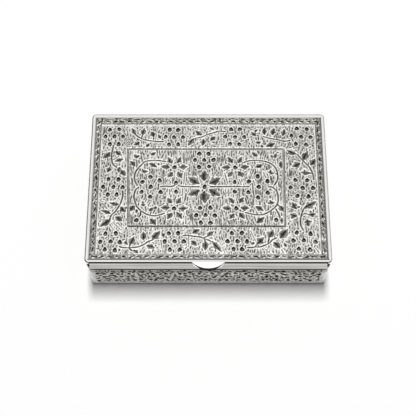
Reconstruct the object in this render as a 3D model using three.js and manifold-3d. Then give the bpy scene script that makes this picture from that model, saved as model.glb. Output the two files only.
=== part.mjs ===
// An engraved silver box for papers and keepsakes, with a hinged lid.
// Millimetres: X across the front, Y from front to back, Z up. The origin is the middle of the base.
// The walls, the lip, the lid's band and its rim are mitred lengths of silver. The lid turns on a
// knuckled hinge let into the back, and the bevels behind the barrel stop it a little past upright.
import * as THREE from 'three';
import { mergeVertices } from 'three/addons/utils/BufferGeometryUtils.js';
import Module from 'manifold-3d';

const wasm = await Module();
wasm.setup();

// Overall
const lidWidth = 105;
const lidDepth = 72;
const totalHeight = 28;
const lidHeight = 8.9;
const seamGap = 0.3;
const lidCornerRadius = 1.7;
const cornerStepsPerHalf = 4;
const roundSteps = 4;

// Rim moulding of the lid
const rimRoundRadius = 0.65;
const rimFlatWidth = 0.65;
const rimSlopeWidth = 0.6;
const rimSlopeDrop = 0.35;
const rimBeadHeight = 1;

// Side band of the lid
const bandStep = 0.15;
const bandThickness = 0.85;
const bandLowerRoundRadius = 0.35;

// Top plate of the lid
const plateThickness = 0.9;
const borderDepth = 1.95;
const borderWidth = 2.1;
const fieldRise = 0.15;
const fieldBevelWidth = 0.3;

// Thumbpiece
const thumbWidth = 13.9;
const thumbReach = 3.3;
const thumbThickness = 0.95;
const thumbRootDepth = 0.9;
const thumbDrop = 0.5;
const thumbSteps = 8;
const thumbOutlineSteps = 18;
const thumbEdgeShare = 0.72;

// Body
const bodySetBack = 0.5;
const bodyCornerRadius = 1.6;
const bodyEdgeRadius = 1.3;
const bottomThickness = 0.9;

// Lip inside the body's rim
const lipClearance = 0.4;
const lipThickness = 0.6;
const lipRise = 2;
const lipBelow = 4;

// Hinge
const hingeInset = 1.5;
const hingeEndMargin = 5.5;
const knuckleCount = 9;
const barrelRadius = 1.25;
const knuckleGap = 0.3;
const knuckleChamfer = 0.15;
const coveClearance = 0.3;
const pinRadius = 0.55;
const pinClearance = 0.06;
const plugLength = 1.5;
const barrelSides = 20;
const pinSides = 16;
const bearerDepth = 2.8;
const bearerHeight = 3.4;
const stopBevelAngle = 52;
const overrun = 2;

// Worked out from the sizes above
const lidOutline = { halfX: lidWidth / 2, halfY: lidDepth / 2, radius: lidCornerRadius };
const bodyOutline = {
  halfX: lidWidth / 2 - bodySetBack,
  halfY: lidDepth / 2 - bodySetBack,
  radius: bodyCornerRadius,
};
const bodyHeight = totalHeight - lidHeight - seamGap;
const lidBottom = bodyHeight + seamGap;
const rimWidth = rimRoundRadius + rimFlatWidth + rimSlopeWidth;
const borderLevel = totalHeight - borderDepth;
const rimBottom = borderLevel - plateThickness;
const bandInner = bandStep + bandThickness;
const wallThickness = bandInner + lipClearance - bodySetBack;
const hingeY = lidDepth / 2 - hingeInset;
const hingeZ = bodyHeight + seamGap / 2;
const hingeLength = lidWidth - 2 * hingeEndMargin;
const knucklePitch = hingeLength / Math.round(knuckleCount);
const coveRadius = (barrelRadius + coveClearance) / Math.cos(Math.PI / barrelSides);
const bearerFront = hingeY - bearerDepth;

// Finishes
const polishedSilver = { color: 0xd6d5d0, roughness: 0.12, metalness: 1 };
const engravedSilver = { color: 0xc2c1bb, roughness: 0.3, metalness: 1 };
const insideSilver = { color: 0xcfccc2, roughness: 0.38, metalness: 1 };
const pinMetal = { color: 0xb4b2ac, roughness: 0.35, metalness: 1 };

const box = new THREE.Group();

function addPiece(name, geometry, finish) {
  const plain = geometry.index ? geometry.toNonIndexed() : geometry;
  plain.computeVertexNormals();
  const piece = new THREE.Mesh(plain, new THREE.MeshStandardMaterial(finish));
  piece.name = name;
  box.add(piece);
}

// Joining and cutting of closed geometries

function asSolid(geometry) {
  const bare = geometry.clone();
  bare.deleteAttribute('normal');
  bare.deleteAttribute('uv');
  const merged = mergeVertices(bare);
  return new wasm.Manifold(new wasm.Mesh({
    numProp: 3,
    vertProperties: new Float32Array(merged.attributes.position.array),
    triVerts: new Uint32Array(merged.index.array),
  }));
}

function asGeometry(solid) {
  const mesh = solid.getMesh();
  const geometry = new THREE.BufferGeometry();
  geometry.setAttribute('position', new THREE.BufferAttribute(mesh.vertProperties, mesh.numProp));
  geometry.setIndex(new THREE.BufferAttribute(mesh.triVerts, 1));
  return geometry;
}

function cutAway(geometry, ...tools) {
  let solid = asSolid(geometry);
  for (const tool of tools) solid = solid.subtract(asSolid(tool));
  return asGeometry(solid);
}

function keepWithin(geometry, limit) {
  return asGeometry(asSolid(geometry).intersect(asSolid(limit)));
}

// Closed geometry from points and triangles. Points that fall together are merged, and the
// triangles that this leaves without area are dropped.
function closedGeometry(points, triangles) {
  const geometry = new THREE.BufferGeometry();
  geometry.setAttribute('position', new THREE.Float32BufferAttribute(points.flat(), 3));
  geometry.setIndex(triangles.flat());
  const merged = mergeVertices(geometry);
  const kept = [];
  for (let i = 0; i < merged.index.count; i += 3) {
    const [a, b, c] = merged.index.array.slice(i, i + 3);
    if (a !== b && b !== c && c !== a) kept.push(a, b, c);
  }
  merged.setIndex(kept);
  return merged;
}

// A quarter round from angle `from` to angle `to`, in degrees, as [inset, height] points. It is a
// quarter circle, or a quarter ellipse where it is given a height of its own.
function arcPoints(centreInset, centreHeight, radius, from, to, high = radius) {
  const points = [];
  for (let k = 0; k <= roundSteps; k += 1) {
    const angle = THREE.MathUtils.degToRad(from + (to - from) * (k / roundSteps));
    points.push([centreInset + radius * Math.cos(angle), centreHeight + high * Math.sin(angle)]);
  }
  return points;
}

// The plan point of a rounded corner, `inset` inside the outline. The corner lies towards
// (signX, signY), and `angle` is the direction of the outline's normal there.
function cornerPoint(outline, signX, signY, angle, inset) {
  const left = Math.max(outline.radius - inset, 0);
  const past = Math.max(inset, outline.radius);
  return [
    signX * (outline.halfX - past) + left * Math.cos(angle),
    signY * (outline.halfY - past) + left * Math.sin(angle),
  ];
}

// A mitred length along one side of an outline, with half of each rounded corner. The section
// is a list of [inset, height] points, anticlockwise with the inset to the right.
function mitredLength(section, outline, side) {
  const turned = side === 'left' || side === 'right';
  const local = turned
    ? { halfX: outline.halfY, halfY: outline.halfX, radius: outline.radius }
    : outline;
  const stations = [];
  for (const signX of [-1, 1]) {
    for (let k = 0; k <= cornerStepsPerHalf; k += 1) {
      const start = signX < 0 ? Math.PI * 1.25 : Math.PI * 1.5;
      stations.push({ signX, angle: start + (Math.PI / 4) * (k / cornerStepsPerHalf) });
    }
  }
  const points = [];
  const triangles = [];
  const count = section.length;
  for (const { signX, angle } of stations) {
    for (const [inset, height] of section) {
      points.push([...cornerPoint(local, signX, -1, angle, inset), height]);
    }
  }
  for (let i = 0; i + 1 < stations.length; i += 1) {
    for (let j = 0; j < count; j += 1) {
      const next = (j + 1) % count;
      const a = i * count + j;
      const b = i * count + next;
      triangles.push([a, b, b + count], [a, b + count, a + count]);
    }
  }
  const alongMitre = section.map(([inset, height]) => {
    const past = inset - local.radius;
    return new THREE.Vector2(past > 0 ? past * Math.SQRT2 : past, height);
  });
  const last = (stations.length - 1) * count;
  for (const [a, b, c] of THREE.ShapeUtils.triangulateShape(alongMitre, [])) {
    triangles.push([c, b, a], [last + a, last + b, last + c]);
  }
  const quarterTurns = { front: 0, right: 1, back: 2, left: 3 }[side];
  return closedGeometry(points, triangles).rotateZ((Math.PI / 2) * quarterTurns);
}

// A block over the whole outline, whose edge follows [inset, height] points from its lower
// face to its upper one.
function outlineBlock(profile, outline) {
  const plan = [];
  for (const [signX, signY, start] of [[1, 1, 0], [-1, 1, 0.5], [-1, -1, 1], [1, -1, 1.5]]) {
    for (let k = 0; k <= 2 * cornerStepsPerHalf; k += 1) {
      const angle = Math.PI * (start + 0.5 * (k / (2 * cornerStepsPerHalf)));
      plan.push({ signX, signY, angle });
    }
  }
  const points = [];
  const triangles = [];
  const count = plan.length;
  for (const [inset, height] of profile) {
    for (const { signX, signY, angle } of plan) {
      points.push([...cornerPoint(outline, signX, signY, angle, inset), height]);
    }
  }
  for (let ring = 0; ring + 1 < profile.length; ring += 1) {
    for (let j = 0; j < count; j += 1) {
      const a = ring * count + j;
      const b = ring * count + ((j + 1) % count);
      triangles.push([a, b, b + count], [a, b + count, a + count]);
    }
  }
  const last = (profile.length - 1) * count;
  for (let j = 1; j + 1 < count; j += 1) {
    triangles.push([0, j + 1, j], [last, last + j, last + j + 1]);
  }
  return closedGeometry(points, triangles);
}

function blockBetween([x0, y0, z0], [x1, y1, z1]) {
  const block = new THREE.BoxGeometry(x1 - x0, y1 - y0, z1 - z0);
  return block.translate((x0 + x1) / 2, (y0 + y1) / 2, (z0 + z1) / 2);
}

// A prism along X over a polygon of [y, z] points.
function prismAlongX(polygon, length) {
  const shape = new THREE.Shape(polygon.map(([y, z]) => new THREE.Vector2(y, z)));
  const prism = new THREE.ExtrudeGeometry(shape, { depth: length, bevelEnabled: false });
  prism.translate(0, 0, -length / 2);
  return prism.applyMatrix4(new THREE.Matrix4().set(
    0, 0, 1, 0,
    1, 0, 0, 0,
    0, 1, 0, 0,
    0, 0, 0, 1,
  ));
}

function rodAlongX(radius, length, sides, x) {
  return new THREE.CylinderGeometry(radius, radius, length, sides)
    .rotateZ(-Math.PI / 2)
    .translate(x, hingeY, hingeZ);
}

// Hinge cuts: the cove round the barrel, and the stop bevel on the body and on the lid.

function coveRod() {
  return rodAlongX(coveRadius, hingeLength + 2 * knuckleGap, barrelSides, 0);
}

// The bevel leaves the hinge axis at the stop angle below the seam for the body, where `way` is
// -1, and above it for the lid, where `way` is 1.
function stopBevel(way) {
  const reach = hingeInset + overrun;
  const slope = Math.tan(THREE.MathUtils.degToRad(stopBevelAngle));
  return prismAlongX([
    [hingeY, hingeZ],
    [hingeY + reach, hingeZ + way * reach * slope],
    [hingeY + reach, hingeZ - way * overrun],
    [hingeY, hingeZ - way * overrun],
  ], lidWidth + overrun);
}

// Body

function bodyWall(side) {
  const inner = Math.max(bodyEdgeRadius - wallThickness, 0);
  const section = [
    ...arcPoints(bodyEdgeRadius, bodyEdgeRadius, bodyEdgeRadius, 270, 180).reverse(),
    [bodyEdgeRadius, bottomThickness],
    [wallThickness, bottomThickness],
    [wallThickness, bodyHeight],
    [0, bodyHeight],
  ];
  const closed = inner > 0 ? section : section.filter((point, i) => i !== roundSteps + 2);
  const wall = mitredLength(closed, bodyOutline, side);
  return side === 'front' ? wall : cutAway(wall, stopBevel(-1), coveRod());
}

function bottomSheet() {
  return outlineBlock([[bodyEdgeRadius, 0], [bodyEdgeRadius, bottomThickness]], bodyOutline);
}

function lipLength(side) {
  const section = [
    [wallThickness, bodyHeight - lipBelow],
    [wallThickness + lipThickness, bodyHeight - lipBelow],
    [wallThickness + lipThickness, bodyHeight + lipRise],
    [wallThickness, bodyHeight + lipRise],
  ];
  const length = mitredLength(section, bodyOutline, side);
  const hingeSpace = blockBetween(
    [-lidWidth, bearerFront, 0],
    [lidWidth, lidDepth, totalHeight],
  );
  return side === 'front' ? length : cutAway(length, hingeSpace);
}

function bodyBearer() {
  const bar = blockBetween(
    [-lidWidth / 2, bearerFront, bodyHeight - bearerHeight],
    [lidWidth / 2, lidDepth / 2, bodyHeight],
  );
  const inside = outlineBlock([[wallThickness, 0], [wallThickness, totalHeight]], bodyOutline);
  return cutAway(keepWithin(bar, inside), stopBevel(-1), coveRod());
}

// Lid

function lidBandLength(side) {
  const section = [
    ...arcPoints(bandStep + bandLowerRoundRadius, lidBottom + bandLowerRoundRadius,
      bandLowerRoundRadius, 180, 270),
    [bandInner, lidBottom],
    [bandInner, rimBottom],
    [bandStep, rimBottom],
  ];
  const band = mitredLength(section, lidOutline, side);
  return side === 'front' ? band : cutAway(band, stopBevel(1), coveRod());
}

// The bead stands out over the band, and the rim runs down behind it, flush with the band. Inside,
// the rim eases over and then drops to the sunk border.
function rimLength(side) {
  const flatEnd = rimRoundRadius + rimFlatWidth;
  const section = [
    [bandStep, rimBottom],
    [rimWidth, rimBottom],
    ...arcPoints(flatEnd, totalHeight - rimSlopeDrop, rimSlopeWidth, 0, 90, rimSlopeDrop),
    ...arcPoints(rimRoundRadius, totalHeight - rimRoundRadius, rimRoundRadius, 90, 180),
    ...arcPoints(bandStep, totalHeight - rimBeadHeight + bandStep, bandStep, 180, 270),
  ];
  const rim = mitredLength(section, lidOutline, side);
  return side === 'front' ? cutAway(rim, thumbSeat()) : rim;
}

function topPlate() {
  const fieldEdge = rimWidth + borderWidth;
  return outlineBlock([
    [rimWidth, rimBottom],
    [rimWidth, borderLevel],
    [fieldEdge, borderLevel],
    [fieldEdge + fieldBevelWidth, borderLevel + fieldRise],
  ], lidOutline);
}

function lidBearer() {
  const bar = blockBetween(
    [-lidWidth / 2, bearerFront + lipClearance, lidBottom],
    [lidWidth / 2, lidDepth / 2, lidBottom + bearerHeight],
  );
  const inside = outlineBlock([[bandInner, 0], [bandInner, totalHeight]], lidOutline);
  return cutAway(keepWithin(bar, inside), stopBevel(1), coveRod());
}

// The notch in the front rim that the thumbpiece's root is let into.
function thumbSeat() {
  return blockBetween(
    [-thumbWidth / 2, -lidDepth / 2 - overrun, totalHeight - thumbThickness],
    [thumbWidth / 2, -lidDepth / 2 + thumbRootDepth, totalHeight + overrun],
  );
}

// A half-moon plate. Its upper face curves down towards the finger, and it thins to its edge.
function thumbpiece() {
  const front = -lidDepth / 2;
  const upper = [];
  const lower = [];
  for (let k = 0; k <= thumbSteps; k += 1) {
    const share = k / thumbSteps;
    const height = totalHeight - thumbDrop * share * share;
    const thickness = thumbThickness * (1 - (1 - thumbEdgeShare) * share);
    upper.push([front - thumbReach * share, height]);
    lower.unshift([front - thumbReach * share, height - thickness]);
  }
  const root = [
    [front + thumbRootDepth, totalHeight - thumbThickness],
    [front + thumbRootDepth, totalHeight],
  ];
  const strip = prismAlongX([...root, ...upper, ...lower], thumbWidth);
  const moon = new THREE.Shape();
  moon.moveTo(thumbWidth / 2, front + thumbRootDepth);
  moon.lineTo(thumbWidth / 2, front);
  moon.absellipse(0, front, thumbWidth / 2, thumbReach, 0, Math.PI, true);
  moon.lineTo(-thumbWidth / 2, front + thumbRootDepth);
  const plan = new THREE.ExtrudeGeometry(moon, {
    depth: totalHeight,
    bevelEnabled: false,
    curveSegments: thumbOutlineSteps,
  });
  return keepWithin(strip, plan.translate(0, 0, totalHeight / 2));
}

// Barrel

function knuckle(index) {
  const half = (knucklePitch - knuckleGap) / 2;
  const bore = pinRadius + pinClearance;
  const profile = [
    [bore, -half],
    [barrelRadius - knuckleChamfer, -half],
    [barrelRadius, -half + knuckleChamfer],
    [barrelRadius, half - knuckleChamfer],
    [barrelRadius - knuckleChamfer, half],
    [bore, half],
    [bore, -half],
  ];
  const middle = -hingeLength / 2 + knucklePitch * (index + 0.5);
  return new THREE.LatheGeometry(profile.map(([r, y]) => new THREE.Vector2(r, y)), barrelSides)
    .rotateZ(-Math.PI / 2)
    .translate(middle, hingeY, hingeZ);
}

function hingePin() {
  const length = hingeLength - knuckleGap - 2 * (plugLength + knuckleGap);
  return rodAlongX(pinRadius, length, pinSides, 0);
}

function barrelPlug(way) {
  const middle = (hingeLength - knuckleGap - plugLength) / 2;
  return rodAlongX(pinRadius, plugLength, pinSides, way * middle);
}

// Assembly

addPiece('bottom_sheet', bottomSheet(), insideSilver);
for (const side of ['front', 'back', 'left', 'right']) {
  addPiece(`${side}_wall`, bodyWall(side), engravedSilver);
}
for (const side of ['front', 'left', 'right']) {
  addPiece(`${side}_lip`, lipLength(side), insideSilver);
}
addPiece('body_hinge_bearer', bodyBearer(), insideSilver);
for (const side of ['front', 'back', 'left', 'right']) {
  addPiece(`lid_${side}_band`, lidBandLength(side), polishedSilver);
  addPiece(`lid_${side}_rim`, rimLength(side), polishedSilver);
}
addPiece('lid_top_plate', topPlate(), engravedSilver);
addPiece('lid_hinge_bearer', lidBearer(), insideSilver);
addPiece('thumbpiece', thumbpiece(), polishedSilver);
for (let index = 0; index < Math.round(knuckleCount); index += 1) {
  const carrier = index % 2 === 0 ? 'body' : 'lid';
  addPiece(`${carrier}_knuckle_${index + 1}`, knuckle(index), polishedSilver);
}
addPiece('hinge_pin', hingePin(), pinMetal);
addPiece('barrel_plug_left', barrelPlug(-1), pinMetal);
addPiece('barrel_plug_right', barrelPlug(1), pinMetal);

export default box;
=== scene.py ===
# An engraved silver box with a hinged lid. Sizes are in millimetres up to where a mesh is made.
# The engraving is cut into the meshes: each engraved face is a sheet on which the cuts are gathered.
import math

import bpy
import numpy as np
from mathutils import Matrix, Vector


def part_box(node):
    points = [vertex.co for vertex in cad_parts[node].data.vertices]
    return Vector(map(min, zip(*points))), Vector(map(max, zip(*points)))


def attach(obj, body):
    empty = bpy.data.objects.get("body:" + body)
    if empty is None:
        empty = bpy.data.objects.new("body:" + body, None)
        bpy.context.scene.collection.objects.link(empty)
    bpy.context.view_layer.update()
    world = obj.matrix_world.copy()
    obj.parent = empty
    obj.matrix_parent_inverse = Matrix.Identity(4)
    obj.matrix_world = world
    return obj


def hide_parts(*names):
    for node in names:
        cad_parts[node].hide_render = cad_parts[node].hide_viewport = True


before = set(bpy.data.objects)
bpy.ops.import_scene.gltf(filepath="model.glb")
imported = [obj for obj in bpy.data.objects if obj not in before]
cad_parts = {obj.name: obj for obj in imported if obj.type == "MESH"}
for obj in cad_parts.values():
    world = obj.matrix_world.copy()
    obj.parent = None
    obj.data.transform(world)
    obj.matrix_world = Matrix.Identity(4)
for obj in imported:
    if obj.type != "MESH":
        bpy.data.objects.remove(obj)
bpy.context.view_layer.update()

MM = 0.001

# Camera, as fitted to the lid's edges in the 416 by 416 frame
FRAME_SIZE = 416
FRAME_MIDDLE = 208.0
FOCAL_PIXELS = 952.0
SENSOR_WIDTH = 36.0
CAMERA_ELEVATION = math.radians(65.54)
CAMERA_DISTANCE = 421.0
CAMERA_TARGET = np.array([-0.157, -7.27, 20.0])
CAMERA_AHEAD = np.array([0.0, math.cos(CAMERA_ELEVATION), -math.sin(CAMERA_ELEVATION)])
CAMERA_RIGHT = np.array([1.0, 0.0, 0.0])
CAMERA_UP = np.array([0.0, math.sin(CAMERA_ELEVATION), math.cos(CAMERA_ELEVATION)])
CAMERA_PLACE = CAMERA_TARGET - CAMERA_DISTANCE * CAMERA_AHEAD

# Lid and body outlines, as in the solids: half width, half depth, corner radius
LID = (52.5, 36.0, 1.7)
BODY = (52.0, 35.5, 1.6)
TOP = 28.0
BODY_TOP = 18.8
LID_BOTTOM = 19.1
RIM_BOTTOM = 25.15
RIM_WIDTH = 1.9
RIM_ROUND = 0.65
RIM_FLAT_END = 1.1
RIM_SLOPE = 0.8
RIM_EASE = 0.4
BORDER_LEVEL = 26.05
BORDER_EDGE = 4.0
FIELD_EDGE = 4.3
FIELD_LEVEL = 26.2
WALL = 0.9
FOOT_ROUND = 1.3
BAND_STEP = 0.15
BAND_INNER = 1.0
BAND_ROUND = 0.35
BOTTOM = 0.9
HINGE_Y = 34.5
HINGE_Z = 18.95
COVE = 1.57
COVE_HALF_LENGTH = 47.3
STOP_SLOPE = math.tan(math.radians(52))
KNUCKLE_RADIUS = 1.25
KNUCKLE_BORE = 0.61
KNUCKLE_EASE = 0.2
SIDES = ("front", "right", "back", "left")

# The engraving's depth in a berry, the walls' ruled lines and the middle height between them
BERRY_DEPTH = 0.34
RULED_LINES = (2.75, 17.2)
WALL_MIDDLE = 9.6
# How finely the engraved faces are made: their columns and rows, or how far apart the columns are.
# WALL_SHEET_ROWS are the rows that a wall's cuts are gathered on, and WALL_ROWS those of its face.
FIELD_COLUMNS = 541
FIELD_ROWS = 291
BORDER_COLUMN = 0.17
BORDER_ROWS = 17
WALL_COLUMN = 0.25
WALL_SHEET_ROWS = 80
WALL_ROWS = 62

# Where the random draws of each engraved face start
FIELD_SEED = 11
BORDER_SEED = 31
WALL_SEED = 51


def seen_point(px, py, axis, level):
    """Where the line of sight through a pixel of the 416 frame meets a plane across that axis."""
    ahead = (
        CAMERA_AHEAD
        + CAMERA_RIGHT * (px - FRAME_MIDDLE) / FOCAL_PIXELS
        + CAMERA_UP * (FRAME_MIDDLE - py) / FOCAL_PIXELS
    )
    reach = (level - CAMERA_PLACE[axis]) / ahead[axis]
    return CAMERA_PLACE + reach * ahead


def on_field(px, py):
    """The point of the lid's field that a pixel looks at, in plan."""
    return seen_point(px, py, 2, FIELD_LEVEL)[:2]


def on_front_wall(px, py):
    """The point of the body's front that a pixel looks at: across and up."""
    return seen_point(px, py, 1, -BODY[1])[[0, 2]]


def eased(share):
    """A share from 0 to 1 that starts and ends gently."""
    return share * share * (3.0 - 2.0 * share)


def smooth_step(low, high, value):
    """0 up to low and 1 from high on, with a gentle rise between. low may be the larger."""
    return eased(np.clip((value - low) / (high - low), 0.0, 1.0))


def ridge(value, middle, width):
    """1 where the value is at the middle, and falling away smoothly on both sides."""
    return np.exp(-(((value - middle) / width) ** 2))


def from_line(x, y, start, end):
    """How far each place is from the straight line between two points."""
    run_x, run_y = end[0] - start[0], end[1] - start[1]
    off_x, off_y = x - start[0], y - start[1]
    t = np.clip((off_x * run_x + off_y * run_y) / (run_x * run_x + run_y * run_y + 1e-9), 0, 1)
    return np.hypot(off_x - t * run_x, off_y - t * run_y)


# The whole of a sheet, where a part of it could be named
WHOLE = slice(None)


class Sheet:
    """A face of silver laid out flat. cut is how deep it is engraved, burr how far it stands up,
    dark how tarnished the cut is, with painted shade in places, bright how polished, with a painted
    highlight in places, and taken where a motif already lies."""

    def __init__(self, x, y, seed):
        self.x, self.y = x, y
        self.gx, self.gy = np.meshgrid(x, y)
        self.cut, self.burr, self.dark, self.bright, self.taken = np.zeros((5, *self.gx.shape))
        self.random = np.random.default_rng(seed)

    def near(self, low, high, margin):
        """The part of the sheet about a box from low to high, and where its points lie."""
        i0, i1 = np.searchsorted(self.x, [low[0] - margin, high[0] + margin])
        j0, j1 = np.searchsorted(self.y, [low[1] - margin, high[1] + margin])
        place = (slice(j0, j1), slice(i0, i1))
        return place, self.gx[place], self.gy[place]

    def engrave(self, place, **layers):
        """Add to the layers: where a cut is there already, the stronger one shows."""
        for name, values in layers.items():
            layer = getattr(self, name)
            layer[place] = np.maximum(layer[place], values)

    def fade(self, share):
        """Keep only a share of the relief and its tarnish, so that the cuts run out towards an edge."""
        for layer in (self.cut, self.burr, self.dark):
            layer *= share

    def height(self):
        """The engraved surface, above or below the plain one."""
        open_share = 1.0 - smooth_step(0.0, 0.08, self.cut)
        return self.burr * open_share - self.cut

    def either_way(self):
        return 1.0 if self.random.random() < 0.5 else -1.0


def punch(sheet, x, y, radius, shade=1.0):
    """A berry: a pit in a scalloped bright lip, with a small peak at its back, where painted shade makes it
    darkest. shade is how tarnished its middle is."""
    place, gx, gy = sheet.near((x, y), (x, y), radius + 1.6)
    wobble = sheet.random.uniform(0, 2 * math.pi, 3)
    lean = sheet.random.uniform(-0.6, 0.6)
    turn = np.arctan2(gy - y, gx - x)
    r = np.hypot(gx - x, gy - y)
    edge = radius * (0.94 + 0.08 * np.cos(2 * turn + wobble[0]) + 0.06 * np.cos(3 * turn + wobble[1]))
    s = r - edge - 0.26 * ridge(turn, 0.5 * math.pi, 0.42)
    boss = ridge(r, 0, 0.4 * radius)
    cut = BERRY_DEPTH * smooth_step(0.1, -0.34, s) * (1 - 0.6 * boss)
    # Painted shade: the pit and its ring are darker towards the back
    back = 0.5 + 0.5 * np.sin(turn + lean)
    painted_back_shade = smooth_step(0.3, 0.75, back) * smooth_step(0.1, 0.45, r / edge)
    ring = (0.5 + 0.42 * back) * ridge(s, -0.2, 0.2)
    centre = shade * sheet.random.uniform(0.36, 0.6)
    dark = smooth_step(0.14, -0.08, s) * np.minimum(np.maximum(np.maximum(painted_back_shade, ring), centre), 1)
    scallop = 0.5 + 0.5 * np.cos(7 * turn + wobble[2])
    lip = ridge(s, 0.42, 0.25) * (0.65 + 0.35 * scallop)
    nick = ridge(s, 0.78, 0.18) * (1 - scallop) ** 2
    sheet.engrave(
        place, cut=np.maximum(cut, 0.06 * nick), dark=np.maximum(dark, 0.65 * nick), burr=0.08 * lip,
        bright=lip, taken=smooth_step(0.95, 0.5, s),
    )


def leaf(sheet, base, tip, half_width, deep=0.3, shade=1.0, side=1.0, lobes=2.5, lip=1.0):
    """A pointed leaf with toothed edges, cut slantwise: grey, with a dark core along one side and a
    midrib. Without lobes it is a plain dark cut."""
    base, tip = np.asarray(base, float), np.asarray(tip, float)
    place, gx, gy = sheet.near(np.minimum(base, tip), np.maximum(base, tip), 1.6 * half_width + 1.1)
    along = tip - base
    length = float(np.hypot(*along))
    along = along / length
    u = ((gx - base[0]) * along[0] + (gy - base[1]) * along[1]) / length
    v = -(gx - base[0]) * along[1] + (gy - base[1]) * along[0]
    inside = np.clip(u, 0.0, 1.0)
    half = half_width * 3.05 * inside**0.7 * (1 - inside) ** 0.95
    if lobes > 0:
        points = half_width * 1.45 * np.minimum(inside / 0.42, (1 - inside) / 0.58) ** 1.3
        half = 0.4 * half + 0.6 * points
        start = sheet.random.random(2)
        tooth = (lobes * inside + np.where(v > 0, start[0], start[1])) % 1.0
        half = half * (0.78 + 0.5 * tooth)
    past = np.maximum(np.maximum(u - 1, -u), 0) * length
    s = np.where(past > 0, np.hypot(past, v), np.abs(v) - half)
    across = np.clip(v * side / np.maximum(half, 0.05), -1, 1)
    rib = ridge(v, 0, 0.16) * smooth_step(0.0, 0.15, u) * smooth_step(0.95, 0.6, u)
    cut = deep * smooth_step(0.08, -0.3, s) * (0.55 + 0.45 * across) * (1 - 0.35 * rib)
    body, core = 0.0, 1.0
    if lobes > 0:
        body = 0.34
        core = ridge(across, 0.15, 0.42) * smooth_step(0.98, 0.6, u) * smooth_step(-0.1, 0.2, u)
        core *= 0.9 + 0.1 * np.cos(2 * math.pi * lobes * inside + 6 * start[0])
    dark = shade * smooth_step(0.12, -0.08, s) * (body + (1 - body) * core)
    edge = lip * ridge(s, 0.36, 0.27)
    sheet.engrave(place, cut=cut, dark=dark, burr=0.07 * edge, bright=edge, taken=smooth_step(0.8, 0.3, s))


def groove(sheet, points, half_width, deep, shade, lip_height=0.06, clear=0.55, shine=1.0):
    """A cut line through the points, smoothed into a curve, with a bright lip on both sides. clear is
    how far other cuts keep away from it."""
    line = curve_through(points)
    place, gx, gy = sheet.near(line.min(0), line.max(0), half_width + 0.9)
    s = np.full(gx.shape, 9.0)
    for start, end in zip(line[:-1], line[1:]):
        s = np.minimum(s, from_line(gx, gy, start, end))
    s = s - half_width
    cut = deep * smooth_step(0.12, -half_width, s)
    dark = shade * smooth_step(0.1, -0.16, s) * (0.5 + 0.5 * soft_noise(sheet.random, gx, gy, 0.9))
    lip = ridge(s, 0.34, 0.24)
    sheet.engrave(
        place, cut=cut, dark=dark, burr=lip_height * lip, bright=shine * lip, taken=smooth_step(clear, 0.2, s)
    )


def curve_through(points, steps=6):
    """Points on a smooth curve through the given ones."""
    p = np.asarray(points, float)
    if len(p) < 3:
        return p
    ends = np.vstack([2 * p[0] - p[1], p, 2 * p[-1] - p[-2]])
    line = []
    for a, b, c, d in zip(ends, ends[1:], ends[2:], ends[3:]):
        for t in np.arange(steps) / steps:
            curve = 2 * b + (c - a) * t + (2 * a - 5 * b + 4 * c - d) * t * t + (3 * b - a - 3 * c + d) * t**3
            line.append(0.5 * curve)
    line.append(p[-1])
    return np.array(line)


def soft_noise(random, x, y, scale):
    """Smooth noise from 0 to 1 over the plane."""
    u = (x - x.min()) / scale
    v = (y - y.min()) / scale
    grid = random.random((int(v.max()) + 2, int(u.max()) + 2))
    i, j = u.astype(int), v.astype(int)
    fu, fv = eased(u - i), eased(v - j)
    low = grid[j, i] * (1 - fu) + grid[j, i + 1] * fu
    high = grid[j + 1, i] * (1 - fu) + grid[j + 1, i + 1] * fu
    return low * (1 - fv) + high * fv


def ground_lines(sheet, lean, wild):
    """The ground between the motifs: broken cuts 1 mm apart that run up the sheet and lean here and
    there, dark on one side and bright on the other. wild is from 0 to 1 where they lean more."""
    sway = (soft_noise(sheet.random, sheet.gx, sheet.gy, 11.0) - 0.5) * lean
    sway += (soft_noise(sheet.random, sheet.gx, sheet.gy, 4.0) - 0.5) * lean * 1.5 * wild
    u = sheet.gx + sway
    k = np.floor(u).astype(int)
    k -= k.min()
    f = u - np.floor(u)
    columns = k.max() + 1
    keep = 1 - smooth_step(0.1, 0.8, sheet.taken)
    for is_cut, centre, width, run, full in ((True, 0.3, 0.17, 1.9, 0.62), (False, 0.78, 0.18, 1.4, 0.66)):
        v = (sheet.gy - sheet.gy.min()) / run + sheet.random.random(columns)[k]
        j = v.astype(int)
        t = eased(v - j)
        weights = sheet.random.random((columns, j.max() + 2))
        along = weights[k, j] * (1 - t) + weights[k, j + 1] * t
        middle = centre + 0.16 * (sheet.random.random(columns) - 0.5)
        spread = width + 0.08 * sheet.random.random(columns)
        line = ridge(f, middle[k], spread[k]) * keep * smooth_step(0.3, full, along)
        if is_cut:
            sheet.engrave(WHOLE, cut=0.1 * line, dark=0.68 * line)
        else:
            sheet.engrave(WHOLE, burr=0.035 * line, bright=line)


def dashes(sheet, count, lengths, turn, free_share, shade, half_width=0.24, tilt=0.0, barred=None):
    """Short loose cuts where no motif lies, from the shortest to the longest length. turn is how far
    they may lean from tilt, in radians, and barred says where none may lie."""
    made = 0
    for _ in range(count * 6):
        if made >= count:
            break
        x = sheet.random.uniform(sheet.x[0] + 0.8, sheet.x[-1] - 0.8)
        y = sheet.random.uniform(sheet.y[0] + 0.8, sheet.y[-1] - 0.8)
        length = sheet.random.uniform(*lengths)
        lean = tilt + sheet.random.uniform(-turn, turn)
        tone = sheet.random.uniform(0.55, 1.0)
        i = min(np.searchsorted(sheet.x, x), len(sheet.x) - 1)
        j = min(np.searchsorted(sheet.y, y), len(sheet.y) - 1)
        if sheet.taken[j, i] > free_share or (barred is not None and barred(x, y)):
            continue
        dx, dy = math.sin(lean) * length / 2, math.cos(lean) * length / 2
        leaf(sheet, (x - dx, y - dy), (x + dx, y + dy), half_width, 0.14, shade * tone, lobes=0, lip=0.45)
        made += 1


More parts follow.
